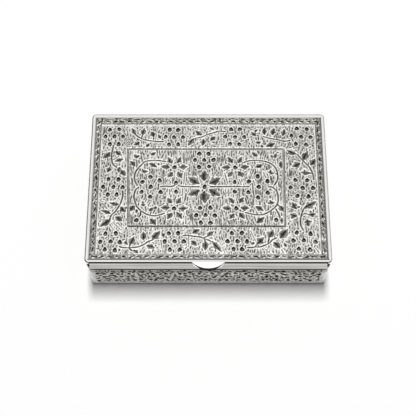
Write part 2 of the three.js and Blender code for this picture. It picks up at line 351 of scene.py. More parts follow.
# The lid's motifs, each where it lies in the 416 frame

BERRIES = {
    "back_left": [(109.8, 129.8), (119.3, 129.2), (105.4, 136.6), (114.5, 136.5),
                  (123.0, 136.6), (109.8, 144.2), (118.5, 144.2)],
    "back_middle_left": [(169.7, 129.7), (178.1, 130.0), (165.6, 136.8), (174.0, 137.4),
                         (183.0, 137.2), (169.0, 144.5), (178.1, 144.4)],
    "back_middle_right": [(231.2, 129.5), (239.8, 129.3), (225.2, 136.7), (235.0, 137.0),
                          (244.3, 137.0), (230.0, 143.8), (239.3, 144.3)],
    "back_right": [(296.8, 128.6), (306.8, 129.2), (291.4, 135.8), (301.2, 136.8),
                   (310.5, 137.2), (295.8, 143.8), (306.3, 144.8)],
    "left": [(108.4, 179.2), (118.4, 179.4), (103.1, 186.9), (113.3, 186.9),
             (122.6, 187.4), (107.7, 194.6), (116.5, 194.6)],
    "right": [(295.4, 180.0), (307.3, 180.3), (290.6, 187.5), (302.7, 188.0),
              (313.1, 188.0), (297.5, 195.9), (308.5, 196.5)],
    "front_left": [(105.3, 233.8), (115.7, 233.4), (100.2, 241.8), (110.5, 241.5),
                   (119.7, 242.2), (104.7, 249.5), (114.7, 250.3)],
    "front_middle_left": [(168.8, 233.4), (178.0, 233.2), (164.6, 241.5), (174.5, 241.3),
                          (183.7, 241.5), (169.8, 249.7), (179.6, 249.7)],
    "front_middle_right": [(231.9, 233.2), (241.9, 233.0), (227.5, 241.3), (237.5, 241.3),
                           (246.9, 241.5), (233.5, 249.0), (242.1, 249.3)],
    "front_right": [(296.8, 232.6), (310.6, 233.8), (293.5, 240.5), (303.9, 240.3),
                    (315.6, 241.8), (298.9, 248.8), (310.2, 249.7)],
    "panel_back": [(199.3, 153.7), (208.5, 153.8), (195.0, 160.0), (204.2, 160.0),
                   (213.5, 159.8), (199.0, 167.1), (209.1, 166.5)],
    "panel_front": [(200.0, 208.0), (210.4, 207.8), (196.1, 215.3), (205.5, 215.1),
                    (214.8, 215.5), (200.9, 222.8), (210.4, 223.0)],
    "panel_left": [(150.4, 176.9), (142.4, 181.9), (159.6, 180.5), (150.6, 186.9),
                   (141.5, 191.9), (160.5, 192.1), (150.1, 196.7)],
    "panel_right": [(257.7, 176.3), (267.5, 181.3), (248.8, 181.5), (258.8, 186.9),
                    (267.7, 192.8), (248.3, 192.3), (258.1, 197.5)],
    "panel_pairs": [(175.9, 183.0), (176.1, 191.7), (234.6, 182.1), (234.8, 191.7)],
}
GREAT_HEART = (204.6, 186.8)
FLOWER_HEARTS = [(174.4, 167.3), (235.2, 167.5), (174.0, 208.4), (236.3, 208.4)]
PANEL_CURL_BERRIES = [(136.3, 220.3), (276.3, 220.0)]

# Leaves as base, tip and half width in pixels
BORDER_LEAVES = [
    # back left sprig
    ((135.5, 134.5), (132.0, 127.5), 1.5), ((142.6, 135.0), (144.5, 127.8), 1.9),
    ((139.8, 142.0), (133.5, 144.8), 1.7), ((154.0, 136.8), (151.0, 131.0), 1.9),
    ((160.3, 139.0), (158.3, 133.8), 1.0), ((149.0, 143.0), (146.3, 147.6), 1.2),
    # back middle sprig
    ((194.0, 138.0), (188.0, 145.6), 2.1), ((201.8, 135.3), (195.3, 130.0), 1.9),
    ((203.6, 138.6), (202.2, 145.8), 1.9), ((215.3, 136.3), (210.2, 140.8), 1.7),
    ((214.0, 130.0), (209.0, 127.0), 0.9),
    # back right sprig
    ((256.0, 136.0), (251.0, 131.5), 1.5), ((264.5, 135.0), (264.6, 126.5), 1.5),
    ((272.2, 135.0), (273.7, 127.6), 1.9), ((282.6, 136.0), (284.3, 128.6), 1.7),
    ((261.0, 142.0), (255.0, 142.3), 1.4), ((274.8, 143.0), (265.6, 146.4), 2.0),
    ((261.0, 144.6), (263.2, 148.0), 0.9), ((257.5, 129.0), (254.0, 132.5), 0.9),
    # left border, upper sprig
    ((110.3, 151.8), (102.8, 158.6), 2.2), ((115.3, 150.3), (121.8, 155.6), 1.7),
    ((123.4, 159.0), (114.2, 161.2), 1.6), ((109.6, 166.8), (107.2, 172.4), 1.8),
    ((119.4, 166.6), (118.9, 172.8), 1.7), ((120.6, 169.3), (125.4, 175.9), 2.0),
    # right border, upper sprig
    ((296.0, 154.2), (286.3, 149.5), 2.2), ((303.0, 160.5), (308.0, 150.6), 2.6),
    ((310.6, 165.2), (315.3, 158.2), 2.3), ((300.2, 162.8), (292.0, 166.7), 2.3),
    ((310.5, 172.8), (300.3, 172.0), 1.9), ((304.6, 172.0), (304.4, 169.0), 0.9),
    # left border, lower sprig
    ((119.4, 204.4), (108.6, 202.4), 1.7), ((113.0, 204.8), (114.2, 201.5), 1.0),
    ((111.0, 213.7), (100.2, 209.6), 1.5), ((110.9, 218.2), (99.0, 227.0), 2.4),
    ((115.3, 216.4), (122.2, 221.2), 2.2), ((121.0, 206.2), (125.4, 212.4), 2.3),
    ((125.2, 208.6), (126.6, 205.8), 1.0),
    # right border, lower sprig
    ((296.8, 209.2), (292.0, 201.8), 2.2), ((297.0, 207.0), (300.4, 206.2), 1.0),
    ((304.2, 208.6), (317.2, 200.8), 2.4), ((308.6, 214.6), (316.2, 213.4), 2.0),
    ((310.0, 212.6), (310.8, 210.2), 1.0), ((297.4, 216.2), (289.6, 213.8), 1.8),
    ((293.2, 215.8), (291.6, 218.8), 1.3), ((304.2, 222.2), (312.4, 221.4), 1.8),
    ((307.6, 222.0), (308.9, 226.4), 2.0),
    # front left sprig
    ((129.4, 244.8), (134.0, 236.0), 2.3), ((143.2, 240.2), (143.1, 231.2), 2.2),
    ((146.2, 245.2), (155.2, 248.0), 1.9), ((124.2, 241.2), (127.4, 245.0), 1.2),
    ((133.4, 249.4), (138.2, 253.6), 1.4), ((152.0, 240.0), (160.2, 230.4), 2.5),
    ((162.2, 232.6), (163.8, 237.4), 1.3),
    # front middle sprig
    ((192.2, 233.0), (200.0, 229.2), 2.0), ((191.0, 240.4), (196.8, 245.8), 1.9),
    ((205.2, 240.6), (205.1, 250.6), 2.3), ((212.0, 240.8), (222.2, 252.2), 1.9),
    ((207.0, 236.2), (214.0, 230.8), 1.8),
    # front right sprig
    ((256.8, 243.8), (263.8, 236.8), 2.5), ((268.4, 237.6), (273.2, 229.2), 2.5),
    ((273.4, 241.8), (280.6, 248.6), 2.4), ((280.2, 238.4), (288.2, 228.4), 3.2),
    ((251.0, 244.2), (254.8, 242.2), 1.2), ((284.6, 242.6), (286.6, 247.4), 1.1),
]
PANEL_LEAVES = [
    ((137.4, 158.4), (134.2, 154.0), 1.4), ((136.5, 156.2), (140.0, 155.2), 1.1),
    ((130.4, 160.8), (135.0, 166.6), 1.9), ((150.8, 155.3), (156.2, 151.9), 1.3),
    ((148.8, 163.0), (157.2, 167.2), 1.7), ((141.2, 171.8), (148.4, 171.2), 1.3),
    ((143.6, 171.4), (142.3, 168.4), 0.9), ((158.0, 162.6), (159.2, 165.4), 0.7),
    ((140.8, 204.2), (145.8, 204.6), 1.3), ((143.0, 203.6), (142.4, 200.8), 1.0),
    ((148.8, 211.2), (154.0, 207.2), 1.5), ((153.4, 208.6), (157.4, 206.8), 1.4),
    ((134.4, 205.2), (129.4, 211.4), 2.4), ((136.3, 208.8), (136.2, 213.4), 1.1),
    ((150.0, 218.4), (155.8, 225.2), 2.3),
    ((257.4, 156.6), (251.8, 151.6), 1.5), ((262.4, 164.6), (254.6, 167.2), 1.7),
    ((274.6, 158.4), (276.4, 152.6), 1.3), ((273.6, 157.4), (270.6, 154.6), 1.1),
    ((281.4, 160.8), (281.2, 168.6), 1.8), ((274.4, 173.4), (267.3, 171.4), 1.3),
    ((270.6, 172.2), (270.6, 169.4), 0.9), ((275.0, 202.2), (266.8, 203.2), 1.4),
    ((270.4, 202.2), (270.7, 199.6), 0.9), ((255.4, 206.2), (263.8, 210.8), 1.9),
    ((279.4, 205.2), (283.8, 211.8), 2.2), ((256.6, 223.2), (264.6, 216.8), 2.1),
    ((281.8, 217.0), (281.9, 224.0), 1.1), ((276.4, 152.8), (279.2, 151.8), 0.7),
]
# The great flower: six petals round the panel's middle, then the four small flowers' petals
GREAT_PETALS = [
    ((204.3, 180.9), (204.4, 169.8), 3.2), ((204.5, 190.6), (205.0, 203.4), 3.7),
    ((199.6, 183.8), (187.8, 176.5), 2.9), ((199.7, 189.6), (187.8, 195.2), 2.9),
    ((209.3, 183.6), (220.6, 177.4), 2.9), ((209.0, 188.9), (220.8, 195.7), 2.9),
]
SMALL_PETALS = [
    ((170.0, 167.4), (160.8, 166.2), 2.0), ((179.0, 167.2), (188.0, 166.4), 2.0),
    ((172.2, 163.4), (167.8, 156.6), 1.9), ((176.8, 163.2), (180.8, 156.6), 1.8),
    ((172.3, 171.8), (167.6, 177.4), 2.0), ((177.6, 171.4), (181.6, 178.2), 2.0),
    ((230.4, 167.4), (221.6, 167.4), 2.0), ((240.4, 167.4), (249.6, 166.4), 2.0),
    ((232.6, 163.2), (227.4, 156.4), 1.9), ((237.8, 163.2), (241.8, 156.4), 1.8),
    ((232.8, 171.4), (227.8, 177.0), 1.9), ((238.2, 171.0), (242.9, 177.2), 2.0),
    ((169.8, 207.6), (160.4, 207.4), 2.0), ((178.4, 208.2), (188.2, 207.6), 2.1),
    ((171.8, 203.2), (167.6, 197.2), 2.0), ((176.4, 203.8), (180.6, 197.2), 1.9),
    ((172.0, 212.6), (167.2, 219.0), 2.0), ((176.4, 211.8), (182.0, 219.0), 2.0),
    ((231.6, 208.0), (221.8, 207.4), 2.0), ((240.4, 207.6), (249.8, 207.8), 2.0),
    ((233.8, 203.4), (228.6, 197.2), 1.9), ((239.2, 203.2), (243.7, 196.8), 2.0),
    ((234.2, 213.4), (229.6, 219.0), 1.8), ((239.4, 212.4), (244.8, 218.8), 2.0),
]
# Each stem as the points that it runs through
STEMS = [
    [(134.0, 133.0), (138.8, 137.0), (145.0, 139.5), (156.0, 141.3), (163.0, 141.5)],
    [(141.2, 138.4), (142.6, 134.6)],
    [(190.0, 142.0), (194.0, 138.6), (201.0, 137.0), (208.0, 134.2), (215.0, 132.2),
     (219.0, 131.0), (225.0, 131.4)],
    [(263.5, 136.4), (270.0, 138.2), (278.0, 139.5), (284.0, 141.0), (290.0, 140.3)],
    [(113.4, 145.4), (112.4, 150.0), (111.4, 156.0), (112.4, 163.0), (116.6, 167.4)],
    [(290.0, 151.0), (297.0, 154.2), (303.0, 160.5), (308.6, 166.0), (311.8, 171.5),
     (313.2, 175.6), (313.7, 179.4)],
    [(312.8, 173.0), (308.8, 172.8)],
    [(122.4, 190.7), (122.7, 194.8), (121.8, 199.4), (120.1, 203.6), (118.0, 207.3),
     (115.2, 211.4), (111.3, 214.9), (109.6, 219.0)],
    [(310.4, 204.0), (305.2, 206.8), (302.6, 211.4), (301.0, 216.3), (300.4, 220.5),
     (301.0, 225.5), (303.3, 230.0)],
    [(301.4, 216.0), (303.1, 213.9), (306.0, 213.4), (309.4, 214.8)],
    [(119.4, 246.3), (122.2, 247.3), (128.4, 247.5), (136.8, 246.9), (140.9, 245.6),
     (144.3, 243.9), (148.0, 241.4), (152.6, 239.7)],
    [(129.2, 247.2), (130.0, 244.0)], [(128.6, 247.8), (131.6, 250.2), (134.4, 250.4)],
    [(183.2, 235.4), (189.0, 235.3), (193.2, 236.2), (199.0, 236.6), (203.2, 237.9),
     (208.8, 240.1), (212.6, 241.8)],
    [(204.2, 238.4), (205.2, 241.4)], [(203.6, 237.6), (208.4, 235.6)],
    [(247.9, 247.3), (252.1, 247.4), (255.0, 246.8), (260.4, 246.6), (265.0, 245.0),
     (269.8, 242.6), (272.2, 239.8), (276.8, 237.6)],
    [(255.4, 246.6), (257.6, 243.0)], [(268.2, 243.4), (269.0, 237.8)],
    # panel scrolls
    [(165.4, 161.4), (158.0, 160.3), (149.0, 160.5), (144.0, 162.0), (140.9, 165.2),
     (138.0, 168.2), (135.5, 171.9), (134.5, 175.7), (134.7, 180.3), (137.2, 185.4)],
    [(138.6, 187.0), (135.9, 189.2), (134.7, 192.0), (133.8, 196.5), (134.7, 200.7),
     (136.3, 205.7), (140.1, 209.8), (145.5, 213.5), (150.0, 215.1), (155.0, 215.6),
     (160.0, 214.5), (164.0, 213.2)],
    [(140.6, 211.4), (140.4, 214.4), (138.8, 217.0)],
    [(242.6, 162.6), (249.5, 160.6), (258.0, 160.2), (266.0, 161.5), (271.4, 163.8),
     (274.6, 166.6), (276.6, 170.0), (277.7, 175.3), (277.5, 179.8), (274.6, 184.6)],
    [(268.5, 186.6), (272.0, 186.9), (275.2, 189.2), (277.3, 192.6), (278.1, 197.3),
     (277.7, 202.8), (275.2, 206.9), (271.4, 210.0), (267.0, 212.8), (262.0, 214.4),
     (255.0, 214.4), (250.0, 213.4), (245.6, 212.3)],
    [(275.8, 208.8), (278.6, 213.8), (280.0, 217.6)], [(271.0, 210.6), (271.0, 214.4)],
    [(277.4, 174.4), (275.6, 173.0)], [(277.2, 204.0), (279.6, 206.2)],
]
# The bars across the panel's middle, the same way
CROSS_BARS = [
    [(160.3, 186.5), (166.0, 186.0), (171.0, 186.4), (174.6, 185.2)],
    [(178.4, 185.2), (182.0, 186.2), (190.3, 186.5), (199.0, 186.6)],
    [(210.2, 186.6), (219.2, 186.5), (230.6, 186.4), (238.0, 186.3), (249.0, 186.5)],
]
# Single straight cuts, from end to end
LONG_CUTS = [
    ((165.6, 177.6), (165.2, 184.0)), ((184.9, 172.0), (183.6, 184.0)),
    ((169.4, 189.0), (169.5, 195.0)), ((182.4, 188.6), (182.6, 195.4)),
    ((224.4, 172.6), (227.8, 183.8)), ((239.2, 179.0), (241.4, 185.0)),
    ((250.4, 171.4), (252.7, 178.8)), ((253.4, 180.2), (254.8, 185.0)),
    ((225.4, 189.0), (225.7, 197.0)), ((228.5, 189.0), (228.6, 195.8)),
    ((213.9, 197.8), (214.0, 201.6)), ((220.5, 199.4), (220.1, 207.8)),
    ((250.5, 230.3), (255.8, 241.2)), ((112.6, 221.6), (120.4, 229.8)),
    ((110.4, 225.6), (113.8, 229.8)), ((117.2, 222.0), (122.8, 228.0)),
    ((185.7, 216.0), (185.8, 223.6)), ((189.6, 221.0), (189.8, 225.4)),
    ((263.4, 172.0), (265.8, 177.4)), ((314.4, 246.6), (319.2, 252.6)),
    ((296.0, 236.4), (300.8, 244.8)), ((264.8, 248.6), (271.6, 254.0)),
    ((281.2, 248.8), (284.0, 253.2)), ((99.4, 199.6), (103.2, 201.8)),
    ((107.0, 208.4), (110.4, 210.6)), ((160.6, 240.0), (162.0, 248.8)),
    ((188.6, 236.0), (188.4, 246.6)), ((238.3, 217.0), (238.4, 219.6)),
    ((222.2, 243.0), (222.4, 245.4)), ((187.4, 245.4), (185.4, 248.4)),
]
# The panel's corners, from the back left one round
PANEL_CORNERS = [(128.0, 148.9), (283.4, 149.0), (285.1, 226.0), (128.3, 226.0)]
# The lines round the panel, a wide one and two hair lines: how far each lies outwards in mm, its half
# width, how tarnished it is and how its lips shine
PANEL_FRAME = [(0.0, 0.33, 0.62, 0.6), (0.3, 0.12, 1.0, 1.0), (-0.26, 0.08, 0.6, 0.35)]

# The body's front as it shows below the lid: its berries, and its leaves as base and tip in pixels and
# half width in mm
FRONT_WALL_BERRIES = [
    (97.3, 274.0), (104.3, 274.1), (111.8, 273.9), (118.3, 274.2), (129.3, 274.0), (153.0, 274.0),
    (166.0, 274.1), (171.0, 274.0), (185.3, 273.9), (199.5, 274.0), (226.3, 274.2), (246.3, 274.0),
    (253.0, 274.0), (274.0, 273.9), (296.5, 274.1), (305.0, 274.0), (313.0, 274.0), (122.5, 271.4),
    (172.5, 272.3), (95.3, 277.0), (104.8, 277.1), (116.0, 277.0), (121.8, 276.9), (128.3, 277.0),
    (175.8, 276.3), (190.0, 277.0), (206.0, 277.1), (222.3, 277.0), (227.3, 277.0), (230.8, 276.9),
    (266.8, 277.0), (277.5, 277.0), (300.5, 276.5), (307.0, 277.0), (311.0, 277.1), (318.0, 277.0),
    (99.5, 280.9), (108.8, 281.2), (117.0, 280.5), (129.3, 280.4), (135.5, 280.2), (151.0, 279.5),
    (180.0, 280.0), (188.5, 279.5), (199.5, 280.2), (205.5, 280.3), (220.0, 280.4), (227.0, 280.2),
    (244.3, 280.3), (251.0, 279.2), (257.5, 279.3), (263.3, 280.0), (271.5, 280.2), (276.8, 280.3),
    (288.5, 280.2), (296.5, 280.0), (301.0, 280.5), (310.5, 280.5), (318.0, 280.3),
]
FRONT_WALL_LEAVES = [
    ((137.5, 275.0), (143.5, 276.0), 1.0), ((284.5, 275.6), (290.5, 274.5), 1.0),
    ((139.0, 280.2), (144.5, 279.0), 1.0), ((159.0, 279.6), (164.5, 278.0), 1.1),
    ((146.0, 272.6), (149.5, 275.2), 0.9), ((159.5, 275.6), (163.0, 272.8), 0.9),
    ((178.5, 273.0), (181.5, 275.6), 0.9), ((192.5, 275.6), (195.5, 272.9), 0.9),
    ((210.0, 273.2), (215.5, 274.6), 1.0), ((233.5, 273.0), (238.5, 274.6), 1.0),
    ((259.5, 273.2), (264.5, 275.2), 1.0), ((280.0, 277.6), (286.0, 278.8), 1.0),
    ((147.0, 277.6), (153.0, 276.8), 0.9), ((166.5, 276.6), (170.5, 278.8), 0.9),
    ((196.5, 276.4), (200.5, 278.2), 0.9), ((212.0, 278.6), (217.5, 276.8), 1.0),
    ((236.5, 278.6), (242.0, 277.0), 1.0), ((247.5, 276.4), (252.0, 277.4), 0.9),
    ((269.5, 275.4), (272.0, 277.8), 0.8), ((292.0, 276.8), (295.5, 278.6), 0.9),
]


def field_leaf(sheet, base, tip, half_width, **cuts):
    """A leaf given in pixels. It is cut a fifth wider than it was read."""
    px, py = base
    pixel = float(on_field(px + 0.5, py)[0] - on_field(px - 0.5, py)[0])
    leaf(sheet, on_field(*base), on_field(*tip), 1.2 * half_width * pixel, side=sheet.either_way(), **cuts)


def field_groove(sheet, points, *sizes, **cuts):
    """A groove given in pixels."""
    groove(sheet, [on_field(*p) for p in points], *sizes, **cuts)


def frame_lines(sheet, corners):
    """The lines round the panel. The front one is darker and duller than the others."""
    middle = sum(corners) / 4
    for outwards, width, shade, shine in PANEL_FRAME:
        moved = [c + outwards * np.sign(c - middle) for c in corners]
        for a, b, front in zip(moved, moved[1:] + moved[:1], (0, 0, 1, 0)):
            tone, gleam = min(shade + 0.3 * front, 1), shine * (1 - 0.7 * front)
            groove(sheet, [a, b], width, 0.13, tone, lip_height=0.08, clear=0.5, shine=gleam)


def engraved_field():
    """The lid's field: the large motifs where they were read, then loose cuts and the ground's lines,
    calm at the edges, with a painted highlight line and painted shade along the back."""
    half_x, half_y = LID[0] - FIELD_EDGE, LID[1] - FIELD_EDGE
    x, y = np.linspace(-half_x, half_x, FIELD_COLUMNS), np.linspace(-half_y, half_y, FIELD_ROWS)
    sheet = Sheet(x, y, FIELD_SEED)
    corners = [on_field(*c) for c in PANEL_CORNERS]
    back_left, back_right, _, front_left = corners
    low, high = np.minimum(back_left, front_left), np.maximum(back_right, back_left)

    def in_panel(x, y):
        return (x > low[0]) & (x < high[0]) & (y > low[1]) & (y < high[1])

    frame_lines(sheet, corners)
    for bar in CROSS_BARS:
        field_groove(sheet, bar, 0.27, 0.15, 0.95)
    for stem in STEMS:
        field_groove(sheet, stem, 0.27, 0.15, 0.9, lip_height=0.08)
    for base, tip, width in BORDER_LEAVES + PANEL_LEAVES:
        field_leaf(sheet, base, tip, width)
    for base, tip, width in GREAT_PETALS:
        field_leaf(sheet, base, tip, width, deep=0.34, lobes=3.0, shade=0.88)
    for base, tip, width in SMALL_PETALS:
        field_leaf(sheet, base, tip, width, lobes=2.0, shade=0.9)
    punch(sheet, *on_field(*GREAT_HEART), 0.95)
    for heart in FLOWER_HEARTS + PANEL_CURL_BERRIES:
        punch(sheet, *on_field(*heart), 0.92)
    for cluster in BERRIES.values():
        for berry in cluster:
            punch(sheet, *on_field(*berry), sheet.random.uniform(0.84, 0.96))
    for cut in LONG_CUTS:
        field_groove(sheet, cut, 0.15, 0.1, 0.6, lip_height=0.05, clear=0.4)
    dashes(sheet, 600, (0.8, 2.3), turn=0.4, free_share=0.3, shade=0.85)
    dashes(sheet, 480, (0.5, 1.4), turn=1.6, free_share=0.45, shade=0.8, barred=in_panel)
    ground_lines(sheet, 4.2, np.where(in_panel(sheet.gx, sheet.gy), 0.15, 1.0))
    edge, back_edge = half_x - np.abs(sheet.gx), half_y - sheet.gy
    # A painted highlight line along the back, and painted shade at the back edge
    back_highlight = smooth_step(1.2, 1.05, back_edge) * smooth_step(0.5, 0.65, back_edge)
    sheet.engrave(WHOLE, bright=np.maximum(smooth_step(0.6, 0.3, edge), 0.7 * back_highlight))
    sheet.dark *= 1 - back_highlight
    sheet.engrave(WHOLE, dark=0.65 * smooth_step(0.6, 0.45, back_edge))
    sheet.fade(smooth_step(0.1, 0.45, np.minimum(np.minimum(edge, back_edge - 0.3), half_y + sheet.gy)))
    return sheet


def chain_border(length, width, middle, foot, seed):
    """A twisted chain for the sunk border: two strands that cross, and a dark core in each loop. middle
    is how far it runs from the rim, and foot how much shade is painted along the rim."""
    columns = np.linspace(-length / 2, length / 2, int(length / BORDER_COLUMN))
    sheet = Sheet(columns, np.linspace(0, width, BORDER_ROWS), seed)
    random = sheet.random
    loop = 3.2
    count = int(length / loop)
    for k in range(count + 1):
        x = (k - count / 2) * loop + random.uniform(-0.25, 0.25)
        lift = random.uniform(0.08, 0.34) * (1 if k % 2 else -1)
        long = loop * random.uniform(0.3, 0.46)
        swell = random.uniform(0.26, 0.42)
        leaf(sheet, (x - long, middle - lift), (x + long, middle + lift), swell, 0.2,
             random.uniform(0.8, 1.0), lobes=0)
        for way in (-1, 1):
            strand = [(x - 0.5 * loop, middle), (x - 0.2 * loop, middle + 0.66 * way),
                      (x + 0.2 * loop, middle + 0.66 * way), (x + 0.5 * loop, middle)]
            groove(sheet, strand, 0.13, 0.12, random.uniform(0.5, 1.0), lip_height=0.05, clear=0.3)
            start = x + 0.5 * loop - random.uniform(0.3, 0.7)
            end = x + 0.5 * loop + random.uniform(0.3, 0.7)
            leaf(sheet, (start, middle + 0.74 * way), (end, middle + 0.78 * way), 0.2, 0.12,
                 random.uniform(0.5, 0.9), lobes=0, lip=0.5)
    grain = soft_noise(random, sheet.gx, sheet.gy, 0.55)
    sheet.engrave(WHOLE, cut=0.04 * grain, bright=smooth_step(0.42, 0.2, grain))
    sheet.engrave(WHOLE, dark=0.66 * smooth_step(0.5, 0.75, grain))
    # Painted shade in the crease along the rim, and a darker line along the field's edge
    sheet.engrave(WHOLE, dark=foot * smooth_step(0.25, 0.05, sheet.gy))
    sheet.engrave(WHOLE, dark=0.5 * smooth_step(width - 0.26, width - 0.1, sheet.gy))
    return sheet


def seven_berries(sheet, s, half_length):
    """A cluster of seven punched berries about a place on a wall."""
    step_x, step_z = 2.9, 3.9
    for row, columns in ((1, (-0.75, 0.75)), (0, (-1.5, 0, 1.5)), (-1, (-0.75, 0.75))):
        for column in columns:
            jitter = sheet.random.uniform(-0.2, 0.2, 2)
            x = s + column * step_x + jitter[0]
            if abs(x) < half_length - 2.4:
                punch(sheet, x, WALL_MIDDLE + row * step_z + jitter[1], 0.95, shade=1.5)


def wall_sprig(sheet, s, way):
    """A leafy sprig about a place on a wall. way turns it over."""
    stem = [(-4.2, -3.6), (-2.4, -0.4), (0.2, 0.9), (2.4, 2.6), (3.8, 5.2)]
    groove(sheet, [(s + x, WALL_MIDDLE + way * z) for x, z in stem], 0.18, 0.13, 0.8)
    blades = [
        ((-2.8, -0.8), (-5.0, 1.6), 0.85), ((-1.4, 0.4), (-2.2, 4.4), 0.9),
        ((-0.6, 0.2), (0.8, -3.6), 0.9), ((0.8, 1.2), (-0.2, 5.0), 0.7),
        ((1.8, 1.8), (4.6, -0.4), 0.95), ((3.6, 4.4), (1.8, 6.6), 0.75),
        ((-3.8, -2.8), (-1.4, -5.8), 0.9), ((2.2, -3.4), (4.4, -6.2), 0.8),
    ]
    for (bx, bz), (tx, tz), width in blades:
        base, tip = (s + bx, WALL_MIDDLE + way * bz), (s + tx, WALL_MIDDLE + way * tz)
        leaf(sheet, base, tip, width, side=sheet.either_way())


def engraved_wall(half_length, seed, as_seen):
    """A side of the body, engraved between two ruled lines. The front has its berries and leaves where
    the photograph shows them. The other sides have berries in sevens and leafy sprigs in turns."""
    columns = np.linspace(-half_length, half_length, int(half_length * 2 / WALL_COLUMN))
    sheet = Sheet(columns, np.linspace(0.0, BODY_TOP, WALL_SHEET_ROWS), seed)
    for z in RULED_LINES:
        ruled = [(-half_length + 2, z), (half_length - 2, z)]
        groove(sheet, ruled, 0.2, 0.13, 0.7, lip_height=0.05, clear=0.5)
    if as_seen:
        for berry in FRONT_WALL_BERRIES:
            punch(sheet, *on_front_wall(*berry), sheet.random.uniform(0.88, 1.08), shade=1.8)
        for base, tip, width in FRONT_WALL_LEAVES:
            leaf(sheet, on_front_wall(*base), on_front_wall(*tip), width)
    else:
        units = int(round(half_length * 2 / 18.6))
        pitch = (half_length * 2 - 12.0) / max(units - 1, 1)
        places = [(k - (units - 1) / 2) * pitch for k in range(units)]
        for s in places:
            seven_berries(sheet, s, half_length)
        for k, (a, b) in enumerate(zip(places, places[1:])):
            wall_sprig(sheet, (a + b) / 2, 1 if k % 2 == 0 else -1)
    dashes(sheet, int(half_length * 4.0), (1.2, 2.6), turn=0.5, free_share=0.4, shade=1.3, half_width=0.52,
           tilt=math.pi / 2)
    dashes(sheet, int(half_length * 5.0), (0.7, 2.2), turn=1.5, free_share=0.4, shade=1.2, half_width=0.34)
    ground_lines(sheet, 3.6, 0.8)
    ledge = smooth_step(2.5, 2.2, sheet.gy)
    sheet.engrave(WHOLE, bright=0.3 * ledge)
    sheet.dark *= 1 - ledge
    plain_corner = smooth_step(half_length - 3.0, half_length - 2.2, np.abs(sheet.gx))
    below_top = smooth_step(BODY_TOP - 0.4, BODY_TOP - 1.2, sheet.gy)
    sheet.fade((1 - plain_corner) * smooth_step(0.9, 1.6, sheet.gy) * below_top)
    sheet.engrave(WHOLE, bright=0.45 * plain_corner)
    return sheet


# Meshes


def piece(name, points, faces, smooth, slots, slot_of=None, marks=None):
    """A mesh from points in millimetres, riding on nothing yet. marks are values on its points."""
    mesh = bpy.data.meshes.new(name)
    mesh.from_pydata((np.asarray(points) * MM).tolist(), [], faces)
    mesh.polygons.foreach_set("use_smooth", np.asarray(smooth, bool))
    for material in slots:
        mesh.materials.append(material)
    if slot_of is not None:
        mesh.polygons.foreach_set("material_index", np.asarray(slot_of, np.int32))
    for mark, values in (marks or {}).items():
        layer = mesh.attributes.new(mark, "FLOAT", "POINT")
        layer.data.foreach_set("value", np.asarray(values, np.float32).ravel())
    mesh.update()
    made = bpy.data.objects.new(name, mesh)
    bpy.context.scene.collection.objects.link(made)
    return made


# A mesh is also laid out flat in a square of 1 by 1: its engraved part up to MAP_FACE above a thin
# edge, and its plain faces in a row of cells above that
MAP_EDGE = 0.01
MAP_ACROSS = 0.98
MAP_FACE = 0.9
MAP_CELL_STEP = 0.2
MAP_CELL_LOW = 0.93
MAP_CELL = [0.17, 0.06]


def lay_flat(made, *corners):
    """The mesh laid out flat for texture maps: a place for each corner of each face."""
    layer = made.data.uv_layers.new(name="OFBake")
    layer.data.foreach_set("uv", np.vstack(corners).astype(np.float32).ravel())


def in_cell(points, face, across, up, number):
    """A plain face's place in its cell of the layout."""
    seen = np.asarray(points)[face][:, [across, up]]
    share = (seen - seen.min(0)) / np.ptp(seen, axis=0)
    return np.array([MAP_EDGE + MAP_CELL_STEP * number, MAP_CELL_LOW]) + share * MAP_CELL


def laid_end_to_end(steps, room):
    """Places along the layout for steps of these lengths, within the room they have."""
    return MAP_EDGE + room * np.concatenate([[0.0], np.cumsum(steps)]) / steps.sum()


def rounded(section, radii, steps):
    """A polygon with its corners rounded. A radius of 0 keeps a corner."""
    p = np.asarray(section, float)
    made = []
    for k, radius in enumerate(radii):
        here, before, after = p[k], p[k - 1], p[(k + 1) % len(p)]
        if radius == 0:
            made.append(here)
            continue
        a = (before - here) / np.hypot(*(before - here))
        b = (after - here) / np.hypot(*(after - here))
        half = math.acos(np.clip(a @ b, -1, 1)) / 2
        run = radius / math.tan(half)
        centre = here + (a + b) / np.hypot(*(a + b)) * radius / math.sin(half)
        start, end = here + a * run - centre, here + b * run - centre
        first = math.atan2(start[1], start[0])
        sweep = (math.atan2(end[1], end[0]) - first + math.pi) % (2 * math.pi) - math.pi
        for t in np.linspace(0, 1, steps + 1):
            turn = first + sweep * t
            made.append(centre + radius * np.array([math.cos(turn), math.sin(turn)]))
    return np.array(made)


# The way that a side's straight part faces, before the side is turned to its place
FACING = 1.5 * math.pi


def side_stations(straight, arc_steps):
    """Where a mitred length's sections stand: a share along the side, and the outline's turn. straight
    holds the shares on the side's straight part, and arc_steps says how finely half a corner turns."""
    ahead = np.full(len(straight), FACING)
    if arc_steps == 0:
        return straight, ahead
    arc = np.linspace(0, math.pi / 4, arc_steps + 1)
    share = np.concatenate([-np.ones(arc_steps), straight, np.ones(arc_steps)])
    turn = np.concatenate([FACING - math.pi / 4 + arc[:-1], ahead, FACING + arc[1:]])
    return share, turn


def side_outline(outline, side):
    """The outline's half length along a side, its half depth from it and its corner radius."""
    return outline if side in ("front", "back") else (outline[1], outline[0], outline[2])


def laid_along(outline, side, share, turn, inset):
    """Plan points, inset inside the outline, of a length on that side."""
    half_x, half_y, radius = side_outline(outline, side)
    least = 0.0 if np.ptp(turn) == 0 else 0.03
    left = np.maximum(radius - inset, least)
    past = inset + left
    x = share[:, None] * (half_x - past) + left * np.cos(turn)[:, None]
    y = -(half_y - past) + left * np.sin(turn)[:, None]
    for _ in range(SIDES.index(side)):
        x, y = -y, x
    return x, y


